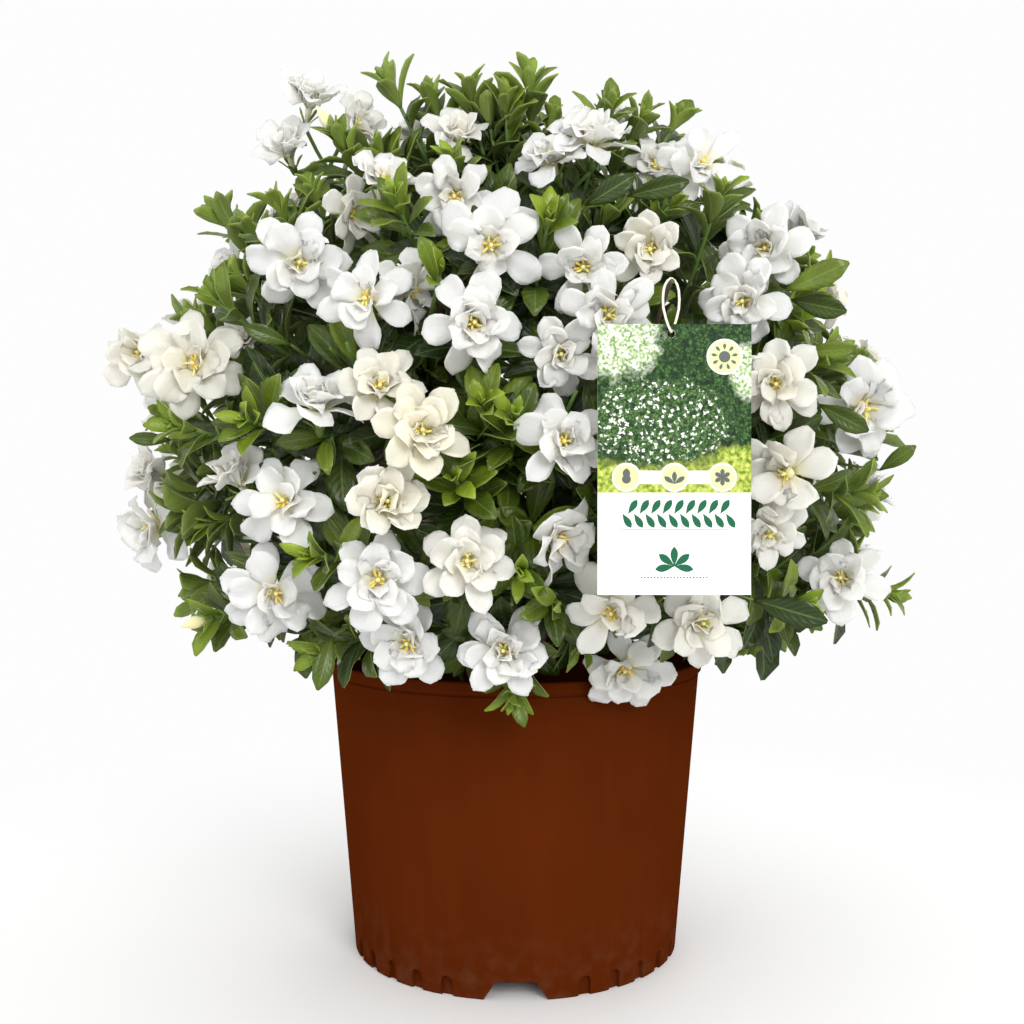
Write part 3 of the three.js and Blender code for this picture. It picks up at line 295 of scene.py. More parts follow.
# How much lower the tip of an upright shoot ends than in the solids, the length below which a leaf
# has the plainer blank, the width of a leaf as a share of its length, the share of shoots with a
# bud, and the bud's place and length, all in millimetres but the shares
TIP_CUT = 8
SMALL_LEAF = 29
LEAF_WIDTH = 0.4
BUD_SHARE = 0.12
BUD_AHEAD = 5
BUD_LENGTH = 20
BUD_GROWTH = 5
BUD_CALYX_LENGTH = 5.5

# The outlines of a petal and of a leaf: shares of the length, and of the width there
PETAL_OUTLINE = (
    (0, 0.22), (0.14, 0.34), (0.34, 0.66), (0.52, 0.92), (0.66, 1), (0.8, 0.9), (0.91, 0.64), (1, 0.24))
PETAL_BLUNT = 0.03
LEAF_OUTLINE = (
    (0, 0.05), (0.08, 0.12), (0.2, 0.42), (0.38, 0.8), (0.58, 1), (0.72, 0.96), (0.85, 0.72),
    (0.94, 0.4), (1, 0.12))

# The pot and its soil, in millimetres, with the edges' roundings first
POT_SIDES = 128
POT_QUARTERS = 4
EDGE_ROUND = 1
EDGE_BEVEL = 0.5
BEVEL_ANGLE = math.radians(40)
SMOOTH_ANGLE = math.radians(35)
FLOOR_UNDER = 14
FLOOR_TOP = 17
FOOT_RING = 5.5
LIP_HEIGHT = 8
LIP_STEP = 1.4
LIP_ROUND = 0.9
RIM_WIDTH = 3.6
NOTCH_TOP = 27
NOTCH_BOTTOM = 45
NOTCH_HEIGHT = 13.2
GROOVE_STEPS = range(2, 7)
GROOVE_TURN = math.radians(11.25)
GROOVE_WIDTH = 9
GROOVE_HEIGHT = 14
GROOVE_DEPTH = 3.2
DRAIN_WIDTH = 26
DRAIN_DEPTH = 12
DRAIN_RADIUS = 100
SOIL_EDGE = 170
SOIL_CROWN = 178
SOIL_HOLE = 8
SOIL_RINGS = 26
SOIL_SIDES = 96
CHIPS = 420
CHIP_SEED = 31

# The tag and its loop, in millimetres
TAG_CENTRE = Vector((82, -292, 355))
HOLE = Vector((80.2, -292, 420.5))
HOLE_RADIUS = 2.2
INK = 0.05
LOOP_HEIGHT = 28.9
LOOP_RADIUS = 0.65
LOOP_FOOT = 1.05
LOOP_HALF = ((0.6, 2, 1.6), (2.2, 2.4, 5), (4.2, 1.6, 13), (4.2, 0.5, 21), (2.7, 0, 26.5))
HOLDER_DROP = 2.55
HOLDER_SAG = 2
HOLDER_REACH = 34
HOLDER_END = 5

# The tag's print: its colours and the share by which they vary. Then, in millimetres and degrees,
# the radii of the badges, their places in from the card's sides and up from the picture's foot, the
# pale band behind them, the border of leaves below the picture, and the flower and dots at the foot
INKS = {
    "print_white": (0.8, 0.81, 0.78),
    "print_badge": (0.64, 0.7, 0.36),
    "print_grey": (0.11, 0.12, 0.11),
    "print_green": (0.004, 0.115, 0.05),
    "print_rule": (0.42, 0.45, 0.43),
}
INK_MOTTLE = 0.06
SUN_BADGE = (8.3, 9.4)
SUN_IN = 14
SUN_DOWN = 17
SUN_SIZE = 1.35
BADGE = (6.5, 7.6)
BADGES = 3
BADGE_IN = 15
BADGE_UP = 8
BAND_IN = 13
BAND_UP = (4.5, 11.5)
BORDER_LEAVES = 19
BORDER_REACH = 27
BORDER_DOWN = 11
BORDER_TURNS = (148, 32)
BORDER_LEAF = (8.5, 3.6)
FLOWER_UP = 15
FLOWER_TURNS = (-100, -52, 0, 52, 100)
FLOWER_LEAF = (10, 4)
DOTS = 21
DOT_REACH = 17
DOT_UP = 9
DOT_RADIUS = 0.45
RULE_THICK = 0.5
RULE_REACH = 28
RULES_DOWN = (19, 26)
FOOT_RULE_THICK = 0.25
FOOT_RULE_REACH = 36
FOOT_RULE_UP = 28

# Colours that go with those of the settings
POT_DUST = (0.12, 0.045, 0.022)
PALE_CHIP = (0.15, 0.085, 0.045)
DARK_TWIG = (0.05, 0.115, 0.018)
BRIGHT_TWIG = (0.13, 0.22, 0.04)
MIDRIB = (0.2, 0.3, 0.07)
UNDERSIDE = (0.2, 0.27, 0.12)
UNDER_VEINS = (0.22, 0.3, 0.12)
UNDER_MIDRIB = (0.28, 0.36, 0.16)
PETAL_CLAW = (0.85, 0.79, 0.4)
ANTHER = (0.86, 0.7, 0.16)
FRESH_POLLEN = (0.88, 0.8, 0.32)
OLD_POLLEN = (0.82, 0.6, 0.09)
POLLEN_SPECKS = (0.6, 0.32, 0.03)

# The studio, in metres: the radius of the sweep's flat floor, its curve and its wall, and the
# distances from the plant where the sweep starts to glow and where it glows at its full strength
SWEEP_FLAT = 2.6
SWEEP_CURVE = 1.2
SWEEP_STEPS = 12
SWEEP_SIDES = 96
SWEEP_WALL = 1.6
GLOW_START = 0.13
GLOW_FULL = 0.75
GLOW = 0.985
WORLD_STRENGTH = 0.83
SENSOR_WIDTH = 36
Light = namedtuple("Light", "name place aim size energy colour")
LIGHTS = (
    Light("key", (0.75, -2.45, 1.45), (0, 0, 0.35), 1.2, 42, (1, 0.99, 0.97)),
    Light("fill", (-1.7, -1.9, 1.2), (0, 0, 0.4), 1.6, 8, (0.97, 0.98, 1)),
    Light("back", (0.7, 2.3, 1.5), (0, 0, 0.4), 1.8, 16, (1, 1, 1)),
)

Blank = namedtuple("Blank", "corners loops starts uv top")
BLANKS = {}
LAYOUT = {}


class PotSettings(PropertyGroup):
    """Sizes and colours of the pot and of the soil in it"""

    height: FloatProperty(
        name="Height", description="Height of the pot", default=0.215, min=0.05, unit="LENGTH")
    rim_radius: FloatProperty(
        name="Rim radius", description="Radius outside the rim", default=0.14, min=0.05, unit="LENGTH")
    foot_radius: FloatProperty(
        name="Foot radius", description="Radius outside the foot", default=0.121, min=0.04,
        unit="LENGTH")
    wall: FloatProperty(
        name="Wall", description="Thickness of the pot's wall", default=0.0025, min=0.001,
        unit="LENGTH")
    plastic: FloatVectorProperty(
        name="Plastic", description="Colour of the pot", subtype="COLOR", size=3,
        default=(0.09, 0.0158, 0.0026))
    earth: FloatVectorProperty(
        name="Soil", description="Colour of the damp soil", subtype="COLOR", size=3,
        default=(0.022, 0.013, 0.008))


class ShrubSettings(PropertyGroup):
    """Colours and fullness of the shrub"""

    fillers: IntProperty(
        name="Inner shoots", description="Leafy shoots inside the crown", default=190, min=0)
    petal_thickness: FloatProperty(
        name="Petal thickness", description="Thickness of a petal", default=0.0004, min=0.0002,
        unit="LENGTH")
    leaf_thickness: FloatProperty(
        name="Leaf thickness", description="Thickness of a leaf", default=0.0006, min=0.0002,
        unit="LENGTH")
    petal: FloatVectorProperty(
        name="Petals", description="Colour of a fresh petal", subtype="COLOR", size=3,
        default=(0.82, 0.815, 0.785))
    cream: FloatVectorProperty(
        name="Cream petals", description="Colour of an older petal", subtype="COLOR", size=3,
        default=(0.84, 0.775, 0.56))
    young_leaf: FloatVectorProperty(
        name="Young leaves", description="Colour at the tips of the shoots", subtype="COLOR", size=3,
        default=(0.27, 0.38, 0.022))
    old_leaf: FloatVectorProperty(
        name="Old leaves", description="Colour deep in the crown", subtype="COLOR", size=3,
        default=(0.011, 0.028, 0.004))
    bark: FloatVectorProperty(
        name="Bark", description="Colour of the woody stems", subtype="COLOR", size=3,
        default=(0.085, 0.055, 0.033))


class TagSettings(PropertyGroup):
    """Sizes and colours of the hang tag"""

    width: FloatProperty(
        name="Width", description="Width of the card", default=0.08, min=0.02, unit="LENGTH")
    height: FloatProperty(
        name="Height", description="Height of the card", default=0.141, min=0.03, unit="LENGTH")
    picture: FloatProperty(
        name="Picture", description="Height of the printed picture", default=0.0877, min=0.01,
        unit="LENGTH")
    card: FloatVectorProperty(
        name="Card", description="Colour of the card", subtype="COLOR", size=3,
        default=(0.8, 0.81, 0.78))
    string: FloatVectorProperty(
        name="String", description="Colour of the loop", subtype="COLOR", size=3,
        default=(0.82, 0.8, 0.64))


class StageSettings(PropertyGroup):
    """The studio round the plant"""

    lens: FloatProperty(
        name="Lens", description="Focal length in mm on a 36 mm sensor", default=42.68, min=10)
    floor: FloatVectorProperty(
        name="Floor", description="Colour of the floor", subtype="COLOR", size=3,
        default=(0.94, 0.94, 0.94))


def numbers(seed):
    """A repeatable stream of numbers from 0 to 1"""
    state = (seed * 7919 + 104729) % 4294967296

    def draw():
        nonlocal state
        state = (1664525 * state + 1013904223) % 4294967296
        return state / 4294967296

    draw()
    draw()
    return draw


def lerp(start, end, share):
    return start + (end - start) * share


def between(first, second, angle):
    """The first direction turned by an angle towards the second, which is square to it"""
    return first * math.cos(angle) + second * math.sin(angle)


def straight(start, end):
    """Three points on a straight run"""
    return [start, start.lerp(end, 0.5), end]


def direction(azimuth, elevation):
    azimuth = math.radians(azimuth)
    elevation = math.radians(elevation)
    level = math.cos(elevation)
    return Vector((level * math.cos(azimuth), level * math.sin(azimuth), math.sin(elevation)))


def dome_power(z):
    return UPPER_POWER if z >= WIDEST else LOWER_POWER


def dome_height(z):
    return abs(z - WIDEST) / (DOME_RISE if z >= WIDEST else DOME_DROP)


def dome_level(x, y, z):
    power = dome_power(z)
    return ((math.hypot(x, y) / DOME_RADIUS) ** power + dome_height(z) ** power) ** (1 / power)


def dome_radius(z, level):
    power = dome_power(z)
    return DOME_RADIUS * max(level ** power - dome_height(z) ** power, 0) ** (1 / power)


def seen_point(px, py, level):
    """The first point of a sight line inside a level of the dome, or the one nearest to it"""
    across = (px - VIEW_SIZE / 2) / FOCAL
    down = (py - VIEW_SIZE / 2) / FOCAL
    ray = Vector((
        across,
        math.cos(PITCH) - down * math.sin(PITCH),
        -math.sin(PITCH) - down * math.cos(PITCH),
    )).normalized()
    nearest = EYE
    least = dome_level(*EYE)
    for reach in SIGHT:
        point = EYE + ray * reach
        here = dome_level(*point)
        if here <= level:
            return point
        if here < least:
            nearest = point
            least = here
    return nearest


def back_points(spiral, taken):
    points = []
    for i in range(spiral.points):
        z = lerp(spiral.top, spiral.bottom, (i + 0.5) / spiral.points)
        radius = dome_radius(z, spiral.level)
        angle = i * TURN_STEP
        point = Vector((radius * math.cos(angle), radius * math.sin(angle), z))
        clear = all((other - point).length > spiral.nearest for other in taken + points)
        if point.y > spiral.behind and clear:
            points.append(point)
    return points


def view_frame(point):
    """At a point, the directions to the viewer, to the viewer's right and up in their view"""
    viewer = (EYE - point).normalized()
    right = UP.cross(viewer).normalized()
    return viewer, right, viewer.cross(right)


Bloom = namedtuple("Bloom", "centre facing across opening spray cream")


def seen_blooms():
    blooms = []
    for seen in SEEN_BLOOMS:
        centre = seen_point(seen.px, seen.py, seen.level)
        viewer, right, above = view_frame(centre)
        turn = math.radians(seen.turn)
        lift = math.radians(seen.lift)
        facing = viewer * math.cos(turn) * math.cos(lift) + right * math.sin(turn) * math.cos(lift)
        facing += above * math.sin(lift)
        blooms.append(Bloom(centre, facing, seen.across, seen.opening, seen.spray, seen.cream))
    return blooms


def back_blooms(taken):
    """Two or three blooms round each spray at the back, facing outwards"""
    draw = numbers(BACK_SEED)
    blooms = []
    for i, point in enumerate(back_points(BACK_SPRAYS, taken)):
        outward = Vector((point.x, point.y, point.z - WIDEST)).normalized()
        aside = UP.cross(outward).normalized()
        above = outward.cross(aside)
        count = 3 if draw() < TRIPLE_SHARE else 2
        slope = draw() * math.pi
        for k in range(count):
            angle = slope + k / count * 2 * math.pi
            outwards = between(aside, above, angle)
            tilt = BACK_TILT * (0.5 + draw())
            across = BACK_ACROSS * (0.92 + 0.16 * draw())
            opening = 0.55 + 0.4 * draw()
            cream = max(0, math.sin(3 * i + 2 * k)) ** 3
            facing = (outward + outwards * tilt).normalized()
            centre = point + outwards * BACK_SPREAD
            blooms.append(Bloom(centre, facing, across, opening, f"back_{i}", cream))
    return blooms


def late_blooms(taken):
    """Smaller single blooms between the sprays, where the front view doesn't show"""
    draw = numbers(LATE_SEED)
    blooms = []
    for point in back_points(LATE_BLOOMS, taken):
        tilt = Vector((draw() - 0.5, draw() - 0.5, draw() - 0.3))
        facing = (Vector((point.x, point.y, point.z - WIDEST)).normalized() + tilt * 0.8).normalized()
        across = LATE_ACROSS * (0.85 + 0.2 * draw())
        blooms.append(Bloom(point, facing, across, 0.3 + 0.6 * draw(), "late", draw() ** 3))
    return blooms


def bloom_base(bloom):
    return bloom.centre - bloom.facing * BLOOM_BASE * bloom.across


def find_branches():
    """Each branch: its direction from the heart, the arm that carries it and its woody leader"""
    places = []
    for ring in RINGS:
        for i in range(ring.count):
            outward = direction(ring.azimuth + i * 360 / ring.count, ring.elevation)
            places.append((f"branch_{ring.name}_{i + 1}", outward, ring.reach))
    branches = []
    for i, (name, outward, reach) in enumerate(places):
        fork = Vector((0, 0, lerp(FIRST_FORK, LAST_FORK, i / (len(places) - 1))))
        end = HEART + outward * reach
        knee = fork.lerp(end, ARM_KNEE) - outward * ARM_SAG
        along = (end - knee).normalized()
        foot = end + along * GAP
        branches.append({
            "name": name,
            "outward": outward,
            "arm": [fork, knee, end],
            "along": along,
            "leader": [foot, foot + along * LEADER_LENGTH],
            "targets": [],
        })
    return branches


def share_leader(branch):
    """Gives each target its start on the leader: the more it lies aside, the lower it starts"""
    foot, top = branch["leader"]

    def branching(target):
        offset = target["point"] - foot
        ahead = offset.dot(branch["along"])
        return ahead - (offset - branch["along"] * ahead).length

    branch["targets"].sort(key=branching)
    count = len(branch["targets"])
    for i, target in enumerate(branch["targets"]):
        share = lerp(LEADER_FIRST, 1, (i + 0.5) / count)
        target["start"] = foot.lerp(top, share)


def filler_points(count):
    """Tips of the shoots inside the crown, on a spiral whose level changes from one to the next"""
    draw = numbers(FILLER_SEED)
    fillers = []
    for i in range(count):
        z = lerp(FILLER_TOP, FILLER_BOTTOM, (i + 0.5) / count)
        level = FILLER_LEVELS[i % len(FILLER_LEVELS)]
        radius = dome_radius(z, level)
        if radius <= 0:
            radius = FILLER_CAP_RADIUS * draw()
            z = WIDEST + level * DOME_RISE * FILLER_CAP_RISE
        angle = i * TURN_STEP + draw()
        fillers.append(Vector((radius * math.cos(angle), radius * math.sin(angle), z)))
    return fillers


def lay_out(fillers):
    """Blooms, sprays, shoots and branches, as in the solids, and the shoots that only show here"""
    front = seen_blooms()
    blooms = front + back_blooms([bloom.centre for bloom in front])
    sprays = []
    for letter in dict.fromkeys(bloom.spray for bloom in blooms):
        members = [bloom for bloom in blooms if bloom.spray == letter]
        bases = [bloom_base(bloom) for bloom in members]
        meeting = sum(bases, Vector((0, 0, 0))) / len(bases)
        if len(members) > 1:
            meeting += (HEART - meeting).normalized() * STALK_GATHER
        sprays.append({"kind": "spray", "members": members, "point": meeting})
    seen = [seen_point(tip.px, tip.py, tip.level) for tip in SEEN_SHOOTS]
    back = back_points(BACK_SHOOTS, [bloom.centre for bloom in blooms] + seen)
    shoots = [{"kind": "shoot", "point": point} for point in seen + back]
    height = HOLE.z + LOOP_HEIGHT - HOLDER_DROP
    holder = {
        "kind": "holder",
        "point": Vector((HOLE.x + 1, HOLE.y + HOLDER_REACH, height - HOLDER_SAG)),
        "tip": Vector((HOLE.x, HOLE.y - HOLDER_END, height)),
    }
    branches = find_branches()
    for target in sprays + shoots + [holder]:
        nearest_branch(branches, target["point"])["targets"].append(target)
    for branch in branches:
        share_leader(branch)
    late = late_blooms([bloom.centre for bloom in blooms])
    blooms = blooms + late
    sprigs = back_points(SPRIGS, [bloom.centre for bloom in blooms] + seen + back)
    extra = [{"kind": "sprig", "point": point} for point in sprigs]
    extra += [{"kind": "bloom", "point": bloom_base(bloom), "bloom": bloom} for bloom in late]
    extra += [{"kind": "filler", "point": point} for point in filler_points(fillers)]
    for leaf in SEEN_LEAVES:
        root = seen_point(leaf.px, leaf.py, leaf.level)
        extra.append({"kind": "leaf", "point": root, "leaf": leaf})
    for target in extra:
        branch = nearest_branch(branches, target["point"])
        target["start"] = branch["leader"][0].lerp(branch["leader"][1], 0.5)
        branch["targets"].append(target)
    keys = ("centre", "facing", "across")
    discs = [np.array([getattr(bloom, key) for bloom in blooms]) for key in keys]
    LAYOUT.update(sprays=sprays, branches=branches, discs=discs)


def nearest_branch(branches, point):
    outward = (point - HEART).normalized()
    return max(branches, key=lambda branch: branch["outward"].dot(outward))


def deselect():
    if bpy.context.mode != "OBJECT":
        bpy.ops.object.mode_set(mode="OBJECT")
    bpy.ops.object.select_all(action="DESELECT")


def make_active(piece):
    deselect()
    piece.select_set(True)
    bpy.context.view_layer.objects.active = piece


def select_where(test):
    """In edit mode, selects the corners that pass a test and what lies between them"""
    mesh = bpy.context.edit_object.data
    bpy.ops.mesh.select_mode(type="VERT")
    bpy.ops.mesh.select_all(action="DESELECT")
    edited = bmesh.from_edit_mesh(mesh)
    for corner in edited.verts:
        if test(corner.co):
            corner.select_set(True)
    edited.select_flush(True)
    bmesh.update_edit_mesh(mesh)


def apply_all(piece):
    make_active(piece)
    bpy.ops.object.transform_apply(location=True, rotation=True, scale=True)
    for modifier in list(piece.modifiers):
        bpy.ops.object.modifier_apply(modifier=modifier.name)


def blank_of(piece):
    """Takes the mesh of a finished blank as arrays, and removes its object"""
    mesh = piece.data
    corners = np.empty(len(mesh.vertices) * 3)
    loops = np.empty(len(mesh.loops), int)
    starts = np.empty(len(mesh.polygons), int)
    normals = np.empty(len(mesh.polygons) * 3)
    uv = np.zeros(len(mesh.loops) * 2)
    mesh.vertices.foreach_get("co", corners)
    mesh.loops.foreach_get("vertex_index", loops)
    mesh.polygons.foreach_get("loop_start", starts)
    mesh.polygons.foreach_get("normal", normals)
    if mesh.uv_layers.active:
        mesh.uv_layers.active.data.foreach_get("uv", uv)
    blank = Blank(corners.reshape(-1, 3), loops, starts, uv, normals.reshape(-1, 3)[:, 2] > 0.5)
    bpy.data.objects.remove(piece)
    bpy.data.meshes.remove(mesh)
    return blank


def model_blade(across, along, outline, thickness, blunt=0.0):
    """A flat blade, 1 wide and 1 long: a grid whose rows are drawn in to an outline.

    It has the given numbers of faces across and along, and blunt cuts back the corners of its end.
    """
    deselect()
    bpy.ops.mesh.primitive_grid_add(
        x_subdivisions=across, y_subdivisions=along, size=1, location=(0, 0.5, 0))
    blade = bpy.context.object
    bpy.ops.object.transform_apply(location=True)
    rows = sorted({round(corner.co.y, 4) for corner in blade.data.vertices})
    shares, widths = zip(*outline)
    bpy.ops.object.mode_set(mode="EDIT")
    for row in rows:
        select_where(lambda place: abs(place.y - row) < 0.001)
        width = float(np.interp(row, shares, widths))
        bpy.ops.transform.resize(value=(width, 1, 1), center_override=(0, row, 0))
    if blunt:
        edge = 0.3 * widths[-1]
        select_where(lambda place: place.y > 0.99 and abs(place.x) > edge)
        bpy.ops.transform.translate(value=(0, -blunt, 0))
    bpy.ops.object.mode_set(mode="OBJECT")
    thicken = blade.modifiers.new("Thickness", "SOLIDIFY")
    thicken.thickness = thickness / MM
    thicken.offset = -1
    apply_all(blade)
    return blank_of(blade)


def model_rod(sides, lengths):
    """A closed round rod, 1 in radius and 1 long, in the given number of lengths"""
    deselect()
    bpy.ops.mesh.primitive_circle_add(vertices=sides, radius=1, fill_type="NGON")
    rod = bpy.context.object
    bpy.ops.object.mode_set(mode="EDIT")
    bpy.ops.mesh.select_all(action="SELECT")
    for _ in range(lengths):
        bpy.ops.mesh.extrude_region_move(TRANSFORM_OT_translate={"value": (0, 0, 1 / lengths)})
    bpy.ops.mesh.select_all(action="SELECT")
    bpy.ops.mesh.normals_make_consistent(inside=False)
    bpy.ops.object.mode_set(mode="OBJECT")
    return blank_of(rod)


def model_chip():
    """A flat splinter of bark: a cube pulled out at two corners, its edges cut back"""
    deselect()
    bpy.ops.mesh.primitive_cube_add(size=1)
    chip = bpy.context.object
    bpy.ops.object.mode_set(mode="EDIT")
    bpy.ops.transform.resize(value=(1, 0.5, 0.22), center_override=(0, 0, 0))
    select_where(lambda place: place.x > 0 and place.y > 0)
    bpy.ops.transform.translate(value=(0.25, -0.1, 0.05))
    select_where(lambda place: place.x < 0 and place.y < 0)
    bpy.ops.transform.translate(value=(-0.15, 0.12, 0))
    bpy.ops.mesh.select_all(action="SELECT")
    bpy.ops.mesh.bevel(offset=0.04, segments=1, affect="EDGES")
    bpy.ops.object.mode_set(mode="OBJECT")
    return blank_of(chip)


def model_blanks(shrub):
    """Models once each shape that repeats"""
    petal, leaf = shrub.petal_thickness, shrub.leaf_thickness
    BLANKS.update(
        petal=model_blade(6, 8, PETAL_OUTLINE, petal, PETAL_BLUNT),
        inner_petal=model_blade(4, 6, PETAL_OUTLINE, petal, PETAL_BLUNT),
        leaf=model_blade(4, 6, LEAF_OUTLINE, leaf),
        inner_leaf=model_blade(2, 5, LEAF_OUTLINE, leaf),
        sepal=model_blade(2, 3, LEAF_OUTLINE, leaf),
        stem=model_rod(8, 10),
        twig=model_rod(6, 6),
        bead=model_rod(6, 4),
        disc=model_rod(32, 1),
        chip=model_chip(),
    )


class Growth:
    """Copies of the blanks, each with its own corners, gathered into the mesh of one piece"""

    def __init__(self, *finishes):
        self.finishes = finishes
        self.corner_count = 0
        self.loop_count = 0
        self.lists = {key: [] for key in ("corners", "loops", "starts", "uv", "finish", "tone")}

    def add(self, blank, places, finish, tone=0.0, under=None):
        """Adds a copy of a blank, its corners at the places and its underside in a finish if given"""
        number = np.full(len(blank.starts), self.finishes.index(finish))
        if under:
            number[~blank.top] = self.finishes.index(under)
        gathered = self.lists
        gathered["corners"].append(places)
        gathered["loops"].append(blank.loops + self.corner_count)
        gathered["starts"].append(blank.starts + self.loop_count)
        gathered["uv"].append(blank.uv)
        gathered["finish"].append(number)
        gathered["tone"].append(np.broadcast_to(tone, len(places)))
        self.corner_count += len(places)
        self.loop_count += len(blank.loops)

    def build(self, name, smooth=True):
        """The gathered mesh as an object, in metres"""
        whole = {key: np.concatenate(value) for key, value in self.lists.items()}
        mesh = bpy.data.meshes.new(name)
        mesh.vertices.add(self.corner_count)
        mesh.loops.add(self.loop_count)
        mesh.polygons.add(len(whole["starts"]))
        mesh.vertices.foreach_set("co", (whole["corners"] * MM).ravel())
        mesh.polygons.foreach_set("loop_start", whole["starts"])
        mesh.polygons.foreach_set("vertices", whole["loops"])
        mesh.update(calc_edges=True)
        mesh.uv_layers.new(name="UVMap").data.foreach_set("uv", whole["uv"])
        mesh.attributes.new("tone", "FLOAT", "POINT").data.foreach_set("value", whole["tone"])
        for finish in self.finishes:
            mesh.materials.append(bpy.data.materials[finish])
        mesh.polygons.foreach_set("material_index", whole["finish"])
        mesh.polygons.foreach_set("use_smooth", np.full(len(whole["starts"]), smooth))
        mesh.update()
        piece = bpy.data.objects.new(name, mesh)
        bpy.context.scene.collection.objects.link(piece)
        return piece


def settle(piece, slot, *nodes):
    """Gives a piece its body and hides the nodes that it replaces. Its slot is not used"""
    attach(piece, BODY)
    if nodes:
        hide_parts(*nodes)


def square_to(axis, guide=None):
    """Two directions at right angles to an axis, the first as near as can be to the guide"""
    if guide is None or abs(guide.normalized().dot(axis)) > 0.98:
        guide = Vector((1, 0, 0)) if abs(axis.z) > 0.9 else UP
    first = (guide - axis * guide.dot(axis)).normalized()
    return first, axis.cross(first)


def blade_places(blank, root, axis, outward, length, width, tilt, bend, fold=0.0, cup=0.0,
                 ruffle=0.0, phase=0.0, twist=0.0):
    """Corners of a copy of a blade that grows outwards from an axis.

    It leaves its root at the tilt, in radians above square to the axis, and turns by the bend
    before its end. Fold lifts its two halves, cup its edges, and twist lifts one edge more and
    more over the other.
    """
    side = 2 * blank.corners[:, 0]
    share = blank.corners[:, 1]
    edge = side * side
    bend = bend if abs(bend) > 0.001 else 0.001
    turn = tilt + bend * share
    out = length * (np.sin(turn) - math.sin(tilt)) / bend
    up = length * (math.cos(tilt) - np.cos(turn)) / bend
    wave = np.sin(2 * math.pi * (1.6 * share + 0.3 * side) + phase) * edge
    fold_line = np.sin(math.pi * (1.2 * side + 0.5 * share) + 2 * phase) * share
    lift = width * (
        cup * edge + fold * np.abs(side) / 2 + twist * side * share / 2 + ruffle * (wave + fold_line / 2)
    ) + blank.corners[:, 2]
    aside = outward.cross(axis)
    local = np.stack((
        blank.corners[:, 0] * width,
        out - lift * np.sin(turn),
        up + lift * np.cos(turn),
    ), axis=1)
    return local @ np.array((aside, outward, axis)) + np.array(root)


def along_path(points, shares):
    """Places on a smooth line through points, at shares of its run"""
    knots = np.array([tuple(point) for point in points])
    ends = np.vstack((2 * knots[0] - knots[1], knots, 2 * knots[-1] - knots[-2]))
    spans = len(knots) - 1
    places = []
    for share in shares:
        span = min(int(share * spans), spans - 1)
        t = share * spans - span
        a, b, c, d = ends[span:span + 4]
        places.append(0.5 * (
            2 * b + (c - a) * t + (2 * a - 5 * b + 4 * c - d) * t ** 2
            + (3 * b - a - 3 * c + d) * t ** 3
        ))
    return np.array(places)


def rod_places(blank, points, radii):
    """Corners of a copy of a rod that runs through points, with radii spread evenly along it"""
    rows, row = np.unique(np.round(blank.corners[:, 2], 4), return_inverse=True)
    centres = along_path(points, rows)
    radius = np.interp(rows, np.linspace(0, 1, len(radii)), radii)
    steps = np.gradient(centres, axis=0)
    first = None
    firsts = []
    seconds = []
    for step in steps:
        first, second = square_to(Vector(step).normalized(), first)
        firsts.append(first)
        seconds.append(second)
    reach = radius[row][:, None]
    around = np.array(firsts)[row] * blank.corners[:, :1]
    around += np.array(seconds)[row] * blank.corners[:, 1:2]
    return centres[row] + around * reach


def add_rod(growth, blank, points, radii, finish, tone=0.0, end_tone=None):
    """One rod through points, whose tone changes evenly to its end where an end tone is given"""
    ends = tone if end_tone is None else end_tone
    tones = lerp(tone, ends, BLANKS[blank].corners[:, 2])
    growth.add(BLANKS[blank], rod_places(BLANKS[blank], points, radii), finish, tones)


def add_leaf(growth, blank, root, axis, outward, length, spread, young, draw):
    """One leaf on a stem that runs along the axis"""
    width = LEAF_WIDTH * length * (0.88 + 0.24 * draw()) * (1 - 0.15 * young)
    bend = -math.radians(14 + 34 * draw())
    places = blade_places(
        BLANKS[blank], root, axis, outward, length, width, math.pi / 2 - spread - bend * 0.4, bend,
        fold=0.3 + 0.24 * draw(), ruffle=0.05, phase=6 * draw(), twist=(draw() - 0.5) * 0.8)
    if clear_of_blooms(places):
        growth.add(BLANKS[blank], places, "leaf", min(1, max(0, young)), "leaf_under")


def clear_of_blooms(places):
    """Whether no bloom has any of these places among its petals or just before its face"""
    centres, facings, widths = LAYOUT["discs"]
    offsets = places[:, None, :] - centres[None, :, :]
    ahead = np.einsum("pbk,bk->pb", offsets, facings)
    aside = np.sqrt(np.maximum(np.einsum("pbk,pbk->pb", offsets, offsets) - ahead ** 2, 0))
    within = (aside < 0.45 * widths) & (ahead > -0.06 * widths) & (ahead < 0.5 * widths)
    return not within.any()


def add_whorl(growth, tip, axis, whorl, start, draw, size=1.0, inner=False):
    """A whorl of leaves round a stem"""
    first, second = square_to(axis)
    for i in range(whorl.count):
        angle = start + i / whorl.count * 2 * math.pi + (draw() - 0.5) * 0.7
        outward = between(first, second, angle)
        spread = math.radians(whorl.spread + (draw() - 0.5) * 26)
        length = whorl.length * size * (0.78 + 0.38 * draw())
        root = tip - axis * (whorl.back + (draw() - 0.5) * 0.2 * whorl.back)
        blank = "inner_leaf" if inner or length < SMALL_LEAF else "leaf"
        young = whorl.young + (draw() - 0.5) * 0.5
        add_leaf(growth, blank, root, axis, outward, length, spread, young, draw)


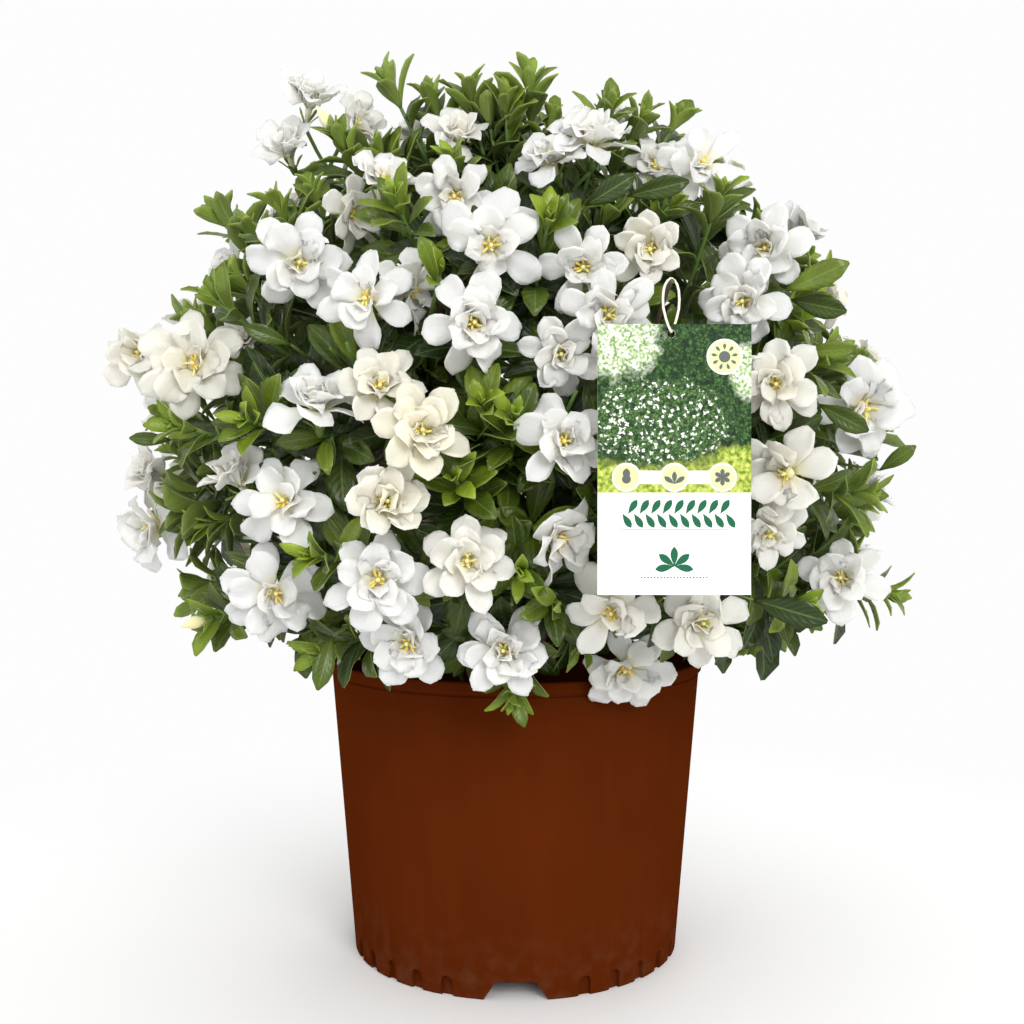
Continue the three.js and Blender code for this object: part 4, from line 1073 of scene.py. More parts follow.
def add_shoot(growth, start, tip, whorls, draw, size=1.0, inner=False):
    """A shoot that carries whorls of leaves up to its tip"""
    span = (tip - start).length
    knee = start.lerp(tip, 0.6) - UP * 0.06 * span + Vector((draw() - 0.5, draw() - 0.5, 0)) * 10
    axis = (tip - knee).normalized()
    add_rod(growth, "twig", [start, knee, tip], SHOOT_RADII, "stem", 0.1, 1)
    turn = draw() * math.pi
    for i, whorl in enumerate(whorls):
        add_whorl(growth, tip, axis, whorl, turn + i * math.pi / 3, draw, size, inner)
    return axis


def add_bud(growth, base, axis, length, draw):
    """A furled bud: a smooth pointed spindle in a green calyx"""
    tip = base + axis * length
    knee = base.lerp(tip, 0.5) + square_to(axis)[0] * (draw() - 0.5) * 2
    add_rod(growth, "stem", [base, knee, tip], BUD_RADII, "petal", 1.0)
    add_calyx(growth, base - axis * BUD_AHEAD, axis, BUD_CALYX_LENGTH, draw)


def add_calyx(growth, base, axis, length, draw):
    """A ribbed green cup with six narrow sepals"""
    top = base + axis * length
    add_rod(growth, "bead", straight(base, top), CALYX_RADII, "stem", 1.0)
    first, second = square_to(axis)
    for i in range(SEPALS):
        angle = i / SEPALS * 2 * math.pi
        outward = between(first, second, angle)
        root = top + outward * SEPAL_REACH - axis
        places = blade_places(
            BLANKS["sepal"], root, axis, outward, SEPAL_LENGTH + SEPAL_GROWTH * draw(), SEPAL_WIDTH,
            math.radians(SEPAL_TILT), math.radians(-26 + 30 * draw()), fold=0.2)
        growth.add(BLANKS["sepal"], places, "leaf", 0.75, "leaf_under")


def add_petals(growth, bloom, draw):
    """The petals of one bloom, whorl by whorl, each a little unlike the next"""
    across = bloom.across
    first, second = square_to(bloom.facing)
    start = draw() * math.pi
    hand = 1 if draw() < RIGHT_HANDED else -1
    for number, whorl in enumerate(PETAL_WHORLS):
        shape = "petal" if number < LARGE_WHORLS else "inner_petal"
        start += math.pi / whorl.count
        slant = (draw() - 0.5) * 20
        for i in range(whorl.count):
            if draw() < whorl.missing:
                continue
            angle = start + i / whorl.count * 2 * math.pi + (draw() - 0.5) * 0.4
            outward = between(first, second, angle)
            average = lerp(whorl.shut, whorl.flat, bloom.opening) + slant + (draw() - 0.5) * 30
            if number == 0 and draw() < DROOP_SHARE:
                average -= DROOP * bloom.opening
            bend = math.radians(whorl.bend + (draw() - 0.5) * 44)
            length = whorl.length * across * (0.88 + 0.2 * draw())
            width = whorl.width * across * (0.86 + 0.28 * draw())
            root = bloom.centre + (outward * whorl.root + bloom.facing * whorl.rise) * across
            places = blade_places(
                BLANKS[shape], root, bloom.facing, outward, length, width,
                math.radians(average) - bend / 2, bend,
                cup=whorl.cup * (0.4 + 1.1 * draw()), ruffle=whorl.ruffle * (0.6 + draw()),
                phase=6.3 * draw(), twist=hand * (0.15 + 0.6 * draw()) + (draw() - 0.5) * 0.5)
            growth.add(BLANKS[shape], places, "petal", min(1, bloom.cream + whorl.cream))


def add_stamens(growth, bloom, draw):
    """Long yellow anthers round a club-shaped stigma, in the mouth of the bloom"""
    across = bloom.across
    first, second = square_to(bloom.facing)
    for i in range(ANTHERS):
        angle = i / ANTHERS * 2 * math.pi + draw() * 1.1
        outward = between(first, second, angle)
        foot = bloom.centre + (outward * 0.02 + bloom.facing * (0.03 + 0.04 * draw())) * across
        lean = (outward * (0.5 + 1.2 * draw()) + bloom.facing).normalized()
        tip = foot + lean * across * (ANTHER_LENGTH + ANTHER_GROWTH * draw())
        knee = foot.lerp(tip, 0.5) + (second * (draw() - 0.5) + first * (draw() - 0.5)) * 2
        add_rod(growth, "bead", [foot, knee, tip], ANTHER_RADII, "anther", draw())
    base = bloom.centre + bloom.facing * MOUTH_RISE * across
    top = base + bloom.facing * across * STIGMA_LENGTH
    add_rod(growth, "bead", straight(base, top), STIGMA_RADII, "anther", 0)


def add_bloom(growth, bloom, stalk, draw):
    """One bloom: stalk, calyx, tube, petals and stamens"""
    base = bloom_base(bloom)
    facing = bloom.facing
    run = [*stalk, base] if len(stalk) > 1 else straight(stalk[0], base)
    add_rod(growth, "twig", run, STALK_RADII, "stem", 0.85)
    add_calyx(growth, base - facing, facing, CALYX_LENGTH, draw)
    mouth = bloom.centre + facing * MOUTH_RISE * bloom.across
    tube = [base + facing * TUBE_START, base.lerp(bloom.centre, 0.7), mouth]
    add_rod(growth, "twig", tube, [*TUBE_RADII, MOUTH_RADIUS * bloom.across], "petal", 0.8)
    add_petals(growth, bloom, draw)
    add_stamens(growth, bloom, draw)


class Finish:
    """A material and the nodes that give it its detail"""

    def __init__(self, name, colour, roughness, **sockets):
        self.material = bpy.data.materials.new(name)
        self.material.use_nodes = True
        self.tree = self.material.node_tree
        self.shader = self.tree.nodes["Principled BSDF"]
        self.material.diffuse_color = (*colour, 1)
        settings = {"Base Color": (*colour, 1), "Roughness": roughness}
        settings.update({key.replace("_", " "): value for key, value in sockets.items()})
        self.feed(self.shader, settings)
        self.place = self.node("TexCoord")["Object"]

    def feed(self, node, sockets):
        """Links or sets the inputs of a node"""
        for key, value in sockets.items():
            if isinstance(value, bpy.types.NodeSocket):
                self.tree.links.new(value, node.inputs[key])
            else:
                node.inputs[key].default_value = value

    def node(self, kind, sockets=None, **settings):
        made = self.tree.nodes.new("ShaderNode" + kind)
        for key, value in settings.items():
            setattr(made, key, value)
        self.feed(made, sockets or {})
        return made.outputs

    def math(self, operation, *values):
        return self.node("Math", dict(enumerate(values)), operation=operation)[0]

    def noise(self, scale, detail=2.0, roughness=0.5, place=None):
        sockets = {
            "Vector": place or self.place, "Scale": scale, "Detail": detail, "Roughness": roughness}
        return self.node("TexNoise", sockets)["Fac"]

    def grain(self, scale, detail, roughness=0.5):
        """Noise with its own scale on each axis"""
        place = self.node("Mapping", {"Vector": self.place, "Scale": scale})["Vector"]
        return self.noise(1, detail, roughness, place)

    def parts(self, place):
        """X, Y and Z of a place"""
        return self.node("SeparateXYZ", {"Vector": place})

    def own_map(self):
        """Across and along the blank that a copy was made from"""
        return self.parts(self.node("UVMap", uv_map="UVMap")["UV"])

    def distance(self, across, along):
        """The distance that two parts at right angles make"""
        squares = self.math("ADD", self.math("POWER", across, 2), self.math("POWER", along, 2))
        return self.math("SQRT", squares)

    def attribute(self, name):
        return self.node("Attribute", attribute_name=name)["Fac"]

    def ramp(self, factor, *stops):
        """A smooth scale of colours or greys over a value"""
        made = self.tree.nodes.new("ShaderNodeValToRGB")
        self.feed(made, {"Fac": factor})
        while len(made.color_ramp.elements) < len(stops):
            made.color_ramp.elements.new(0.5)
        for element, (position, colour) in zip(made.color_ramp.elements, stops):
            element.position = position
            grey = isinstance(colour, (int, float))
            element.color = (colour, colour, colour, 1) if grey else (*colour, 1)
        return made.outputs["Color"]

    def mix(self, factor, first, second):
        """The first colour, and the second where the factor is 1"""
        made = self.tree.nodes.new("ShaderNodeMix")
        made.data_type = "RGBA"
        for number, value in ((0, factor), (6, first), (7, second)):
            if isinstance(value, bpy.types.NodeSocket):
                self.tree.links.new(value, made.inputs[number])
            elif number:
                made.inputs[number].default_value = (*value, 1)
            else:
                made.inputs[number].default_value = value
        return made.outputs[2]

    def colour(self, socket):
        self.feed(self.shader, {"Base Color": socket})

    def bump(self, height, strength, distance):
        sockets = {"Height": height, "Strength": strength, "Distance": distance}
        self.feed(self.shader, {"Normal": self.node("Bump", sockets)["Normal"]})


def dimmer(colour, share):
    return tuple(part * share for part in colour)


def pot_plastic(colour):
    """Satin plastic with a fine grain, faint flow marks and a little dust at its foot"""
    finish = Finish("pot_plastic", colour, 0.4, Specular_IOR_Level=0.0)
    clouds = finish.noise(14, 4)
    marks = finish.grain((60, 60, 4), 3)
    cloudy = finish.ramp(clouds, (0.35, 0.0), (0.75, 0.5))
    tone = finish.mix(cloudy, dimmer(colour, 0.9), dimmer(colour, 1.12))
    tone = finish.mix(finish.ramp(marks, (0.45, 0.0), (0.8, 0.25)), tone, dimmer(colour, 1.3))
    height = finish.parts(finish.place)["Z"]
    low = finish.ramp(finish.math("MULTIPLY", height, 18), (0.0, 0.45), (1.0, 0.0))
    dust = finish.math("MULTIPLY", low, finish.ramp(finish.noise(90, 5), (0.45, 0.0), (0.7, 1.0)))
    finish.colour(finish.mix(dust, tone, POT_DUST))
    finish.feed(finish.shader, {"Roughness": finish.ramp(clouds, (0.2, 0.36), (0.8, 0.48))})
    grain = finish.math("ADD", finish.noise(1400, 2), finish.math("MULTIPLY", marks, 0.6))
    finish.bump(grain, 0.12, 0.0004)


def soil_finish(colour):
    finish = Finish("soil", colour, 0.92)
    crumbs = finish.noise(260, 6, 0.65)
    dark, pale = dimmer(colour, 0.5), dimmer(colour, 2.6)
    finish.colour(finish.ramp(crumbs, (0.3, dark), (0.55, colour), (0.8, pale)))
    finish.bump(crumbs, 0.9, 0.002)


def chip_finish(colour):
    finish = Finish("bark_chip", colour, 0.85)
    tone = finish.mix(finish.attribute("tone"), dimmer(colour, 1.4), PALE_CHIP)
    streaks = finish.grain((900, 240, 900), 3)
    finish.colour(finish.mix(finish.ramp(streaks, (0.4, 0.0), (0.7, 0.6)), tone, dimmer(colour, 0.6)))
    finish.bump(streaks, 0.6, 0.0008)


def bark_finish(colour):
    """Rough, flaking bark with paler scars"""
    finish = Finish("bark", colour, 0.8)
    flakes = finish.grain((420, 420, 90), 6, 0.65)
    dark, scar = dimmer(colour, 0.4), dimmer(colour, 2.1)
    finish.colour(finish.ramp(flakes, (0.3, dark), (0.55, colour), (0.8, scar)))
    finish.bump(flakes, 0.8, 0.0012)


def stem_finish(bark):
    """Twigs that turn from brown bark at their foot to green at their tip"""
    finish = Finish("stem", bark, 0.55)
    streaks = finish.noise(320, 4)
    woody = finish.mix(streaks, dimmer(bark, 0.7), dimmer(bark, 1.6))
    green = finish.mix(streaks, DARK_TWIG, BRIGHT_TWIG)
    share = finish.ramp(finish.attribute("tone"), (0.25, 0.0), (0.75, 1.0))
    finish.colour(finish.mix(share, woody, green))
    finish.bump(streaks, 0.35, 0.0005)


def vein_pattern(finish):
    """The midrib and the side veins of a leaf, from its own map"""
    uv = finish.own_map()
    side = finish.math("ABSOLUTE", finish.math("SUBTRACT", uv["X"], 0.5))
    midrib = finish.ramp(side, (0.012, 1.0), (0.05, 0.0))
    slant = finish.math("MULTIPLY", side, 4.6)
    run = finish.math("SUBTRACT", finish.math("MULTIPLY", uv["Y"], 8.5), slant)
    wave = finish.math("SINE", finish.math("MULTIPLY", run, 2 * math.pi))
    veins = finish.ramp(finish.math("MULTIPLY_ADD", wave, 0.5, 0.5), (0.82, 0.0), (0.99, 1.0))
    swell = finish.ramp(finish.math("MULTIPLY_ADD", wave, 0.5, 0.5), (0.0, 1.0), (1.0, 0.0))
    return midrib, veins, swell


def leaf_finish(young, old):
    """A glossy leaf: dark deep in the crown, yellow-green at the tips, quilted between its veins"""
    finish = Finish("leaf", old, 0.3, Specular_IOR_Level=0.3, Coat_Weight=0.1, Coat_Roughness=0.16)
    midrib, veins, swell = vein_pattern(finish)
    middle = tuple(lerp(a, b, 0.3) for a, b in zip(old, young))
    base = finish.ramp(finish.attribute("tone"), (0.05, old), (0.5, middle), (1.0, young))
    clouds = finish.noise(70, 3)
    base = finish.mix(finish.ramp(clouds, (0.35, 0.0), (0.7, 0.45)), base, dimmer(old, 0.8))
    base = finish.mix(finish.math("MULTIPLY", veins, 0.07), base, dimmer(young, 1.1))
    finish.colour(finish.mix(finish.math("MULTIPLY", midrib, 0.4), base, MIDRIB))
    finish.feed(finish.shader, {"Roughness": finish.ramp(clouds, (0.3, 0.24), (0.7, 0.38))})
    finish.bump(finish.math("SUBTRACT", swell, midrib), 0.22, 0.0005)


def leaf_under_finish(young, old):
    """The pale, dull underside, with raised veins"""
    finish = Finish("leaf_under", young, 0.5)
    midrib, veins, _ = vein_pattern(finish)
    pale = tuple(lerp(a, b, 0.5) for a, b in zip(old, young))
    base = finish.ramp(finish.attribute("tone"), (0.0, dimmer(pale, 0.7)), (1.0, young))
    base = finish.mix(0.25, base, UNDERSIDE)
    base = finish.mix(finish.math("MULTIPLY", veins, 0.35), base, UNDER_VEINS)
    finish.colour(finish.mix(midrib, base, UNDER_MIDRIB))
    finish.bump(finish.math("ADD", veins, midrib), 0.4, 0.0006)


def petal_finish(white, cream):
    """A waxy petal: soft light inside it, fine lines along it, green-yellow at its claw"""
    finish = Finish(
        "petal", white, 0.5, Subsurface_Weight=0.7, Subsurface_Radius=(1, 0.95, 0.85),
        Subsurface_Scale=0.003, Sheen_Weight=0.1, Specular_IOR_Level=0.3)
    uv = finish.own_map()
    tone = finish.attribute("tone")
    clouds = finish.noise(55, 3)
    share = finish.math("MULTIPLY", tone, finish.ramp(clouds, (0.25, 0.75), (0.75, 1.0)))
    base = finish.mix(share, white, cream)
    claw = finish.ramp(uv["Y"], (0.0, 0.9), (0.42, 0.0))
    base = finish.mix(claw, base, PETAL_CLAW)
    lines = finish.math("SINE", finish.math("MULTIPLY", uv["X"], 50))
    finish.colour(finish.mix(finish.ramp(clouds, (0.55, 0.0), (0.9, 0.3)), base, dimmer(white, 0.95)))
    crinkle = finish.math("MULTIPLY_ADD", lines, 0.03, finish.noise(75, 2))
    finish.bump(crinkle, 0.35, 0.0018)


def anther_finish():
    finish = Finish("anther", ANTHER, 0.6, Subsurface_Weight=0.5, Subsurface_Scale=0.002)
    grains = finish.noise(500, 3)
    tone = finish.mix(finish.attribute("tone"), FRESH_POLLEN, OLD_POLLEN)
    finish.colour(finish.mix(finish.ramp(grains, (0.6, 0.0), (0.9, 0.4)), tone, POLLEN_SPECKS))
    finish.bump(grains, 0.6, 0.0004)


def card_finish(name, colour):
    """Printed card with a faint mottle in the ink"""
    finish = Finish(name, colour, 0.45, Specular_IOR_Level=0.25)
    dark, pale = dimmer(colour, 1 - INK_MOTTLE), dimmer(colour, 1 + INK_MOTTLE / 2)
    finish.colour(finish.mix(finish.noise(500, 3), dark, pale))
    finish.bump(finish.noise(1600, 2), 0.08, 0.0002)


def picture_finish(settings):
    """The printed garden: a hedge with light in it, a flowering bush and a sunlit lawn"""
    finish = Finish("printed_garden", (0.03, 0.09, 0.02), 0.45, Specular_IOR_Level=0.15)
    place = finish.parts(finish.place)
    half = settings.width / 2
    low = TAG_CENTRE.z * MM + settings.height / 2 - settings.picture
    across = finish.math("MULTIPLY_ADD", place["X"], 1 / half, -TAG_CENTRE.x * MM / half)
    up = finish.math("MULTIPLY_ADD", place["Z"], 1 / settings.picture, -low / settings.picture)
    rough = finish.noise(160, 4, 0.6)
    fine = finish.noise(620, 3)
    stir = finish.node("TexNoise", {"Vector": finish.place, "Scale": 650})["Color"]
    stirred = finish.node(
        "VectorMath", {0: stir, 1: (0.004,) * 3, 2: finish.place}, operation="MULTIPLY_ADD")[0]

    def blot(x, y, width, height, soft):
        """1 inside an oval with a ragged edge, 0 outside it"""
        aside = finish.math("DIVIDE", finish.math("SUBTRACT", across, x), width)
        above = finish.math("DIVIDE", finish.math("SUBTRACT", up, y), height)
        reach = finish.distance(aside, above)
        ragged = finish.math("MULTIPLY_ADD", rough, 0.9, finish.math("SUBTRACT", reach, 0.45))
        return finish.ramp(ragged, (1 - soft, 1.0), (1.0, 0.0))

    def leaves(scale, bright, middle, dark):
        """Small cells, bright in their middle"""
        cells = finish.node("TexVoronoi", {"Vector": stirred, "Scale": scale})["Distance"]
        return finish.ramp(cells, (0.12, bright), (0.45, middle), (0.8, dark))

    hedge = leaves(520, (0.1, 0.2, 0.05), (0.025, 0.075, 0.018), (0.004, 0.018, 0.004))
    hedge = finish.mix(finish.ramp(fine, (0.45, 0.0), (0.7, 0.8)), hedge, (0.008, 0.03, 0.008))
    sunny = finish.ramp(fine, (0.35, (0.16, 0.28, 0.08)), (0.5, (0.5, 0.62, 0.36)),
                        (0.6, (0.9, 0.93, 0.88)))
    scenery = finish.mix(blot(-0.72, 0.98, 0.62, 0.34, 0.25), hedge, sunny)
    scenery = finish.mix(blot(1.0, 0.72, 0.3, 0.2, 0.3), scenery, sunny)
    lawn = finish.ramp(finish.noise(420, 4), (0.35, (0.13, 0.2, 0.02)), (0.5, (0.36, 0.46, 0.06)),
                       (0.68, (0.66, 0.68, 0.2)))
    rise = finish.math("MULTIPLY", finish.math("SINE", finish.math("MULTIPLY", across, 2.4)), 0.05)
    edge = finish.math("MULTIPLY_ADD", rough, 0.12, finish.math("SUBTRACT", up, rise))
    scenery = finish.mix(finish.ramp(edge, (0.27, 1.0), (0.31, 0.0)), scenery, lawn)
    bush = leaves(560, (0.16, 0.27, 0.08), (0.045, 0.11, 0.03), (0.008, 0.028, 0.008))
    inside = blot(-0.2, 0.42, 0.95, 0.27, 0.12)
    scenery = finish.mix(blot(-0.15, 0.3, 1.0, 0.2, 0.4), scenery, (0.02, 0.045, 0.012))
    scenery = finish.mix(inside, scenery, bush)
    spots = finish.node("TexVoronoi", {"Vector": stirred, "Scale": 390})
    chosen = finish.ramp(spots["Color"], (0.42, 0.0), (0.44, 1.0))
    white = finish.math("MULTIPLY", finish.ramp(spots["Distance"], (0.26, 1.0), (0.4, 0.0)), chosen)
    finish.colour(finish.mix(finish.math("MULTIPLY", white, inside), scenery, (0.86, 0.87, 0.82)))
    finish.bump(finish.noise(1600, 2), 0.08, 0.0002)


def string_finish(colour):
    """Twisted thread: fine slanting strands"""
    finish = Finish("string", colour, 0.8, Sheen_Weight=0.2)
    strands = finish.node("TexWave", {"Vector": finish.place, "Scale": 420, "Distortion": 2})["Fac"]
    finish.colour(finish.mix(strands, dimmer(colour, 0.72), colour))
    finish.bump(strands, 0.6, 0.0003)


def turned_shell(name, profile, sides):
    """A round closed body: a disc whose edge is extruded and scaled through a profile in mm"""
    deselect()
    radius, height = profile[0]
    bpy.ops.mesh.primitive_circle_add(
        vertices=sides, radius=radius * MM, fill_type="NGON", location=(0, 0, height * MM))
    shell = bpy.context.object
    shell.name = name
    bpy.ops.object.transform_apply(location=True)
    bpy.ops.object.mode_set(mode="EDIT")
    bpy.ops.mesh.select_all(action="SELECT")
    for (last, low), (reach, high) in zip(profile, profile[1:]):
        bpy.ops.mesh.extrude_region_move(TRANSFORM_OT_translate={"value": (0, 0, (high - low) * MM)})
        scale = reach / last
        bpy.ops.transform.resize(value=(scale, scale, 1), center_override=(0, 0, high * MM))
    bpy.ops.mesh.select_all(action="SELECT")
    bpy.ops.mesh.normals_make_consistent(inside=False)
    bpy.ops.object.mode_set(mode="OBJECT")
    return shell


def notch_cutter(turn, radius):
    """A block that narrows upwards, to cut a drain notch through the foot"""
    deselect()
    depth = 3 * FOOT_RING
    bpy.ops.mesh.primitive_cube_add(size=1, location=(0, 0, 0))
    cutter = bpy.context.object
    bpy.ops.object.mode_set(mode="EDIT")
    bpy.ops.transform.resize(
        value=(NOTCH_BOTTOM * MM, depth * MM, (NOTCH_HEIGHT + 1) * MM), center_override=(0, 0, 0))
    select_where(lambda place: place.z > 0)
    bpy.ops.transform.resize(value=(NOTCH_TOP / NOTCH_BOTTOM, 1, 1), center_override=(0, 0, 0))
    bpy.ops.mesh.select_all(action="SELECT")
    bpy.ops.transform.translate(value=(0, -(radius - depth / 3) * MM, (NOTCH_HEIGHT - 1) / 2 * MM))
    bpy.ops.object.mode_set(mode="OBJECT")
    cutter.rotation_euler.z = turn
    return cutter


def groove_cutter(turn, radius):
    """A round-topped block, to press an arched groove into the foot of the wall"""
    deselect()
    half = GROOVE_WIDTH / 2 * MM
    springing = (GROOVE_HEIGHT - GROOVE_WIDTH / 2) * MM
    bpy.ops.mesh.primitive_circle_add(vertices=24, radius=half, fill_type="NGON")
    cutter = bpy.context.object
    bpy.ops.object.mode_set(mode="EDIT")
    select_where(lambda place: place.y < 0.00001)
    bpy.ops.transform.translate(value=(0, -springing - MM, 0))
    bpy.ops.mesh.select_all(action="SELECT")
    bpy.ops.mesh.extrude_region_move(TRANSFORM_OT_translate={"value": (0, 0, 2 * GROOVE_DEPTH * MM)})
    bpy.ops.mesh.select_all(action="SELECT")
    bpy.ops.mesh.normals_make_consistent(inside=False)
    bpy.ops.object.mode_set(mode="OBJECT")
    cutter.rotation_euler.x = math.pi / 2
    cutter.location = (0, -(radius - GROOVE_DEPTH) * MM, springing)
    apply_all(cutter)
    cutter.rotation_euler.z = turn
    return cutter


def drain_cutter(turn):
    deselect()
    bpy.ops.mesh.primitive_cube_add(size=1, location=(0, -DRAIN_RADIUS * MM, FLOOR_TOP * MM))
    cutter = bpy.context.object
    cutter.scale = (DRAIN_WIDTH * MM, DRAIN_DEPTH * MM, FLOOR_TOP * MM)
    apply_all(cutter)
    cutter.rotation_euler.z = turn
    return cutter


class GARDENIA_OT_pot(Operator):
    """Model the turned pot, with its drain notches, grooves and drain slots"""

    bl_idname = "gardenia.pot"
    bl_label = "Pot"

    def execute(self, context):
        settings = context.scene.gardenia_pot
        pot_plastic(settings.plastic)
        height = settings.height / MM
        rim = settings.rim_radius / MM
        foot = settings.foot_radius / MM
        wall = settings.wall / MM
        lip = height - LIP_HEIGHT
        ring = foot - FOOT_RING

        def outer(z):
            return lerp(foot, rim - LIP_STEP, z / height)

        under = [(ring - 12, FLOOR_UNDER), (ring, FLOOR_UNDER)]
        base = [(ring, 0.8), (ring + 0.8, 0), (foot - EDGE_ROUND, 0), (foot, EDGE_ROUND)]
        undercut = outer(lip) - LIP_ROUND
        side = [
            (outer(lip * 0.5), lip * 0.5), (outer(lip), lip - 2.4), (undercut, lip - 1.6),
            (undercut, lip)]
        top = [
            (rim - 0.5, lip + 0.3), (rim, lip + EDGE_ROUND), (rim, height - EDGE_ROUND),
            (rim - LIP_ROUND, height), (rim - RIM_WIDTH + LIP_ROUND, height),
            (rim - RIM_WIDTH, height - EDGE_ROUND)]
        inside = [
            (outer(lip) - wall - 0.4, lip - EDGE_ROUND), (outer(30) - wall, 30),
            (outer(FLOOR_TOP) - wall - 2, FLOOR_TOP), (60, FLOOR_TOP)]
        pot = turned_shell("nursery_pot", under + base + side + top + inside, POT_SIDES)
        cutters = []
        for quarter in range(POT_QUARTERS):
            turn = quarter / POT_QUARTERS * 2 * math.pi
            cutters.append(notch_cutter(turn, foot))
            cutters.append(drain_cutter(turn))
            cutters.extend(groove_cutter(turn + step * GROOVE_TURN, foot) for step in GROOVE_STEPS)
        make_active(cutters[0])
        for cutter in cutters:
            cutter.select_set(True)
        bpy.ops.object.join()
        cutter = bpy.context.object
        cut = pot.modifiers.new("Cuts", "BOOLEAN")
        cut.operation = "DIFFERENCE"
        cut.solver = "EXACT"
        cut.object = cutter
        soften = pot.modifiers.new("Soft edges", "BEVEL")
        soften.width = EDGE_BEVEL * MM
        soften.segments = 2
        soften.limit_method = "ANGLE"
        soften.angle_limit = BEVEL_ANGLE
        apply_all(pot)
        bpy.data.objects.remove(cutter)
        bpy.ops.object.shade_smooth_by_angle(angle=SMOOTH_ANGLE)
        pot.data.materials.append(bpy.data.materials["pot_plastic"])
        settle(pot, "pot", "pot")
        return {"FINISHED"}


class GARDENIA_OT_soil(Operator):
    """Model the crumbly soil that fills the pot, with its bark chips"""

    bl_idname = "gardenia.soil"
    bl_label = "Soil"

    def execute(self, context):
        settings = context.scene.gardenia_pot
        soil_finish(settings.earth)
        chip_finish(settings.earth)
        bottom = FLOOR_TOP + GAP
        foot = settings.foot_radius / MM
        rim = settings.rim_radius / MM - LIP_STEP
        inside = settings.wall / MM + GAP

        def reach(z):
            return lerp(foot, rim, z / (settings.height / MM)) - inside

        def mound(share):
            return lerp(SOIL_EDGE, SOIL_CROWN, math.sin(share * math.pi / 2))

        edge = reach(SOIL_EDGE)
        profile = [(reach(bottom) - 2, bottom), (reach(bottom + 2), bottom + 2), (edge, SOIL_EDGE)]
        for i in range(1, SOIL_RINGS + 1):
            profile.append((lerp(edge, SOIL_HOLE + 1, i / SOIL_RINGS), mound(i / SOIL_RINGS)))
        soil = turned_shell("potting_soil", profile, SOIL_SIDES)
        for corner in soil.data.vertices:
            place = corner.co / MM
            reached = math.hypot(place.x, place.y)
            if place.z > SOIL_EDGE - 1 and reached < edge - 1:
                bumps = noise.fractal(place * 0.06, 1.0, 2.0, 5) * 4 + noise.noise(place * 0.3) * 1.6
                corner.co.z += bumps * MM
        make_active(soil)
        bpy.ops.object.shade_smooth()
        soil.data.materials.append(bpy.data.materials["soil"])
        settle(soil, "soil", "soil")

        draw = numbers(CHIP_SEED)
        chips = Growth("bark_chip")
        for _ in range(CHIPS):
            distance = lerp(14, edge - 7, math.sqrt(draw()))
            angle = draw() * 2 * math.pi
            height = mound((edge - distance) / (edge - SOIL_HOLE)) + 1.2
            normal = Vector((draw() - 0.5, draw() - 0.5, 1.1)).normalized()
            first, second = square_to(normal, Vector((draw() - 0.5, draw() - 0.5, 0.01)))
            size = 4 + 9 * draw() ** 2
            centre = (distance * math.cos(angle), distance * math.sin(angle), height)
            places = BLANKS["chip"].corners * size @ np.array((first, second, normal))
            chips.add(BLANKS["chip"], places + np.array(centre), "bark_chip", draw())
        settle(chips.build("bark_chips"), "soil")
        return {"FINISHED"}


class GARDENIA_OT_trunk(Operator):
    """Grow the stem and the arms that fork from it"""

    bl_idname = "gardenia.trunk"
    bl_label = "Trunk"

    def execute(self, context):
        bark_finish(context.scene.gardenia_shrub.bark)
        wood = Growth("bark")
        foot = Vector((0, 0, STEM_FOOT))
        top = Vector((0, 0, LAST_FORK + STEM_TOP_RADIUS))
        swollen = [
            STEM_RADIUS, STEM_RADIUS + 0.6, STEM_RADIUS - 0.4, STEM_TOP_RADIUS + 1, STEM_TOP_RADIUS * 0.7]
        add_rod(wood, "stem", straight(foot, top), swollen, "bark")
        for branch in LAYOUT["branches"]:
            add_rod(wood, "stem", branch["arm"], ARM_RADII, "bark")
        settle(wood.build("woody_stems"), "bark", "trunk")
        return {"FINISHED"}


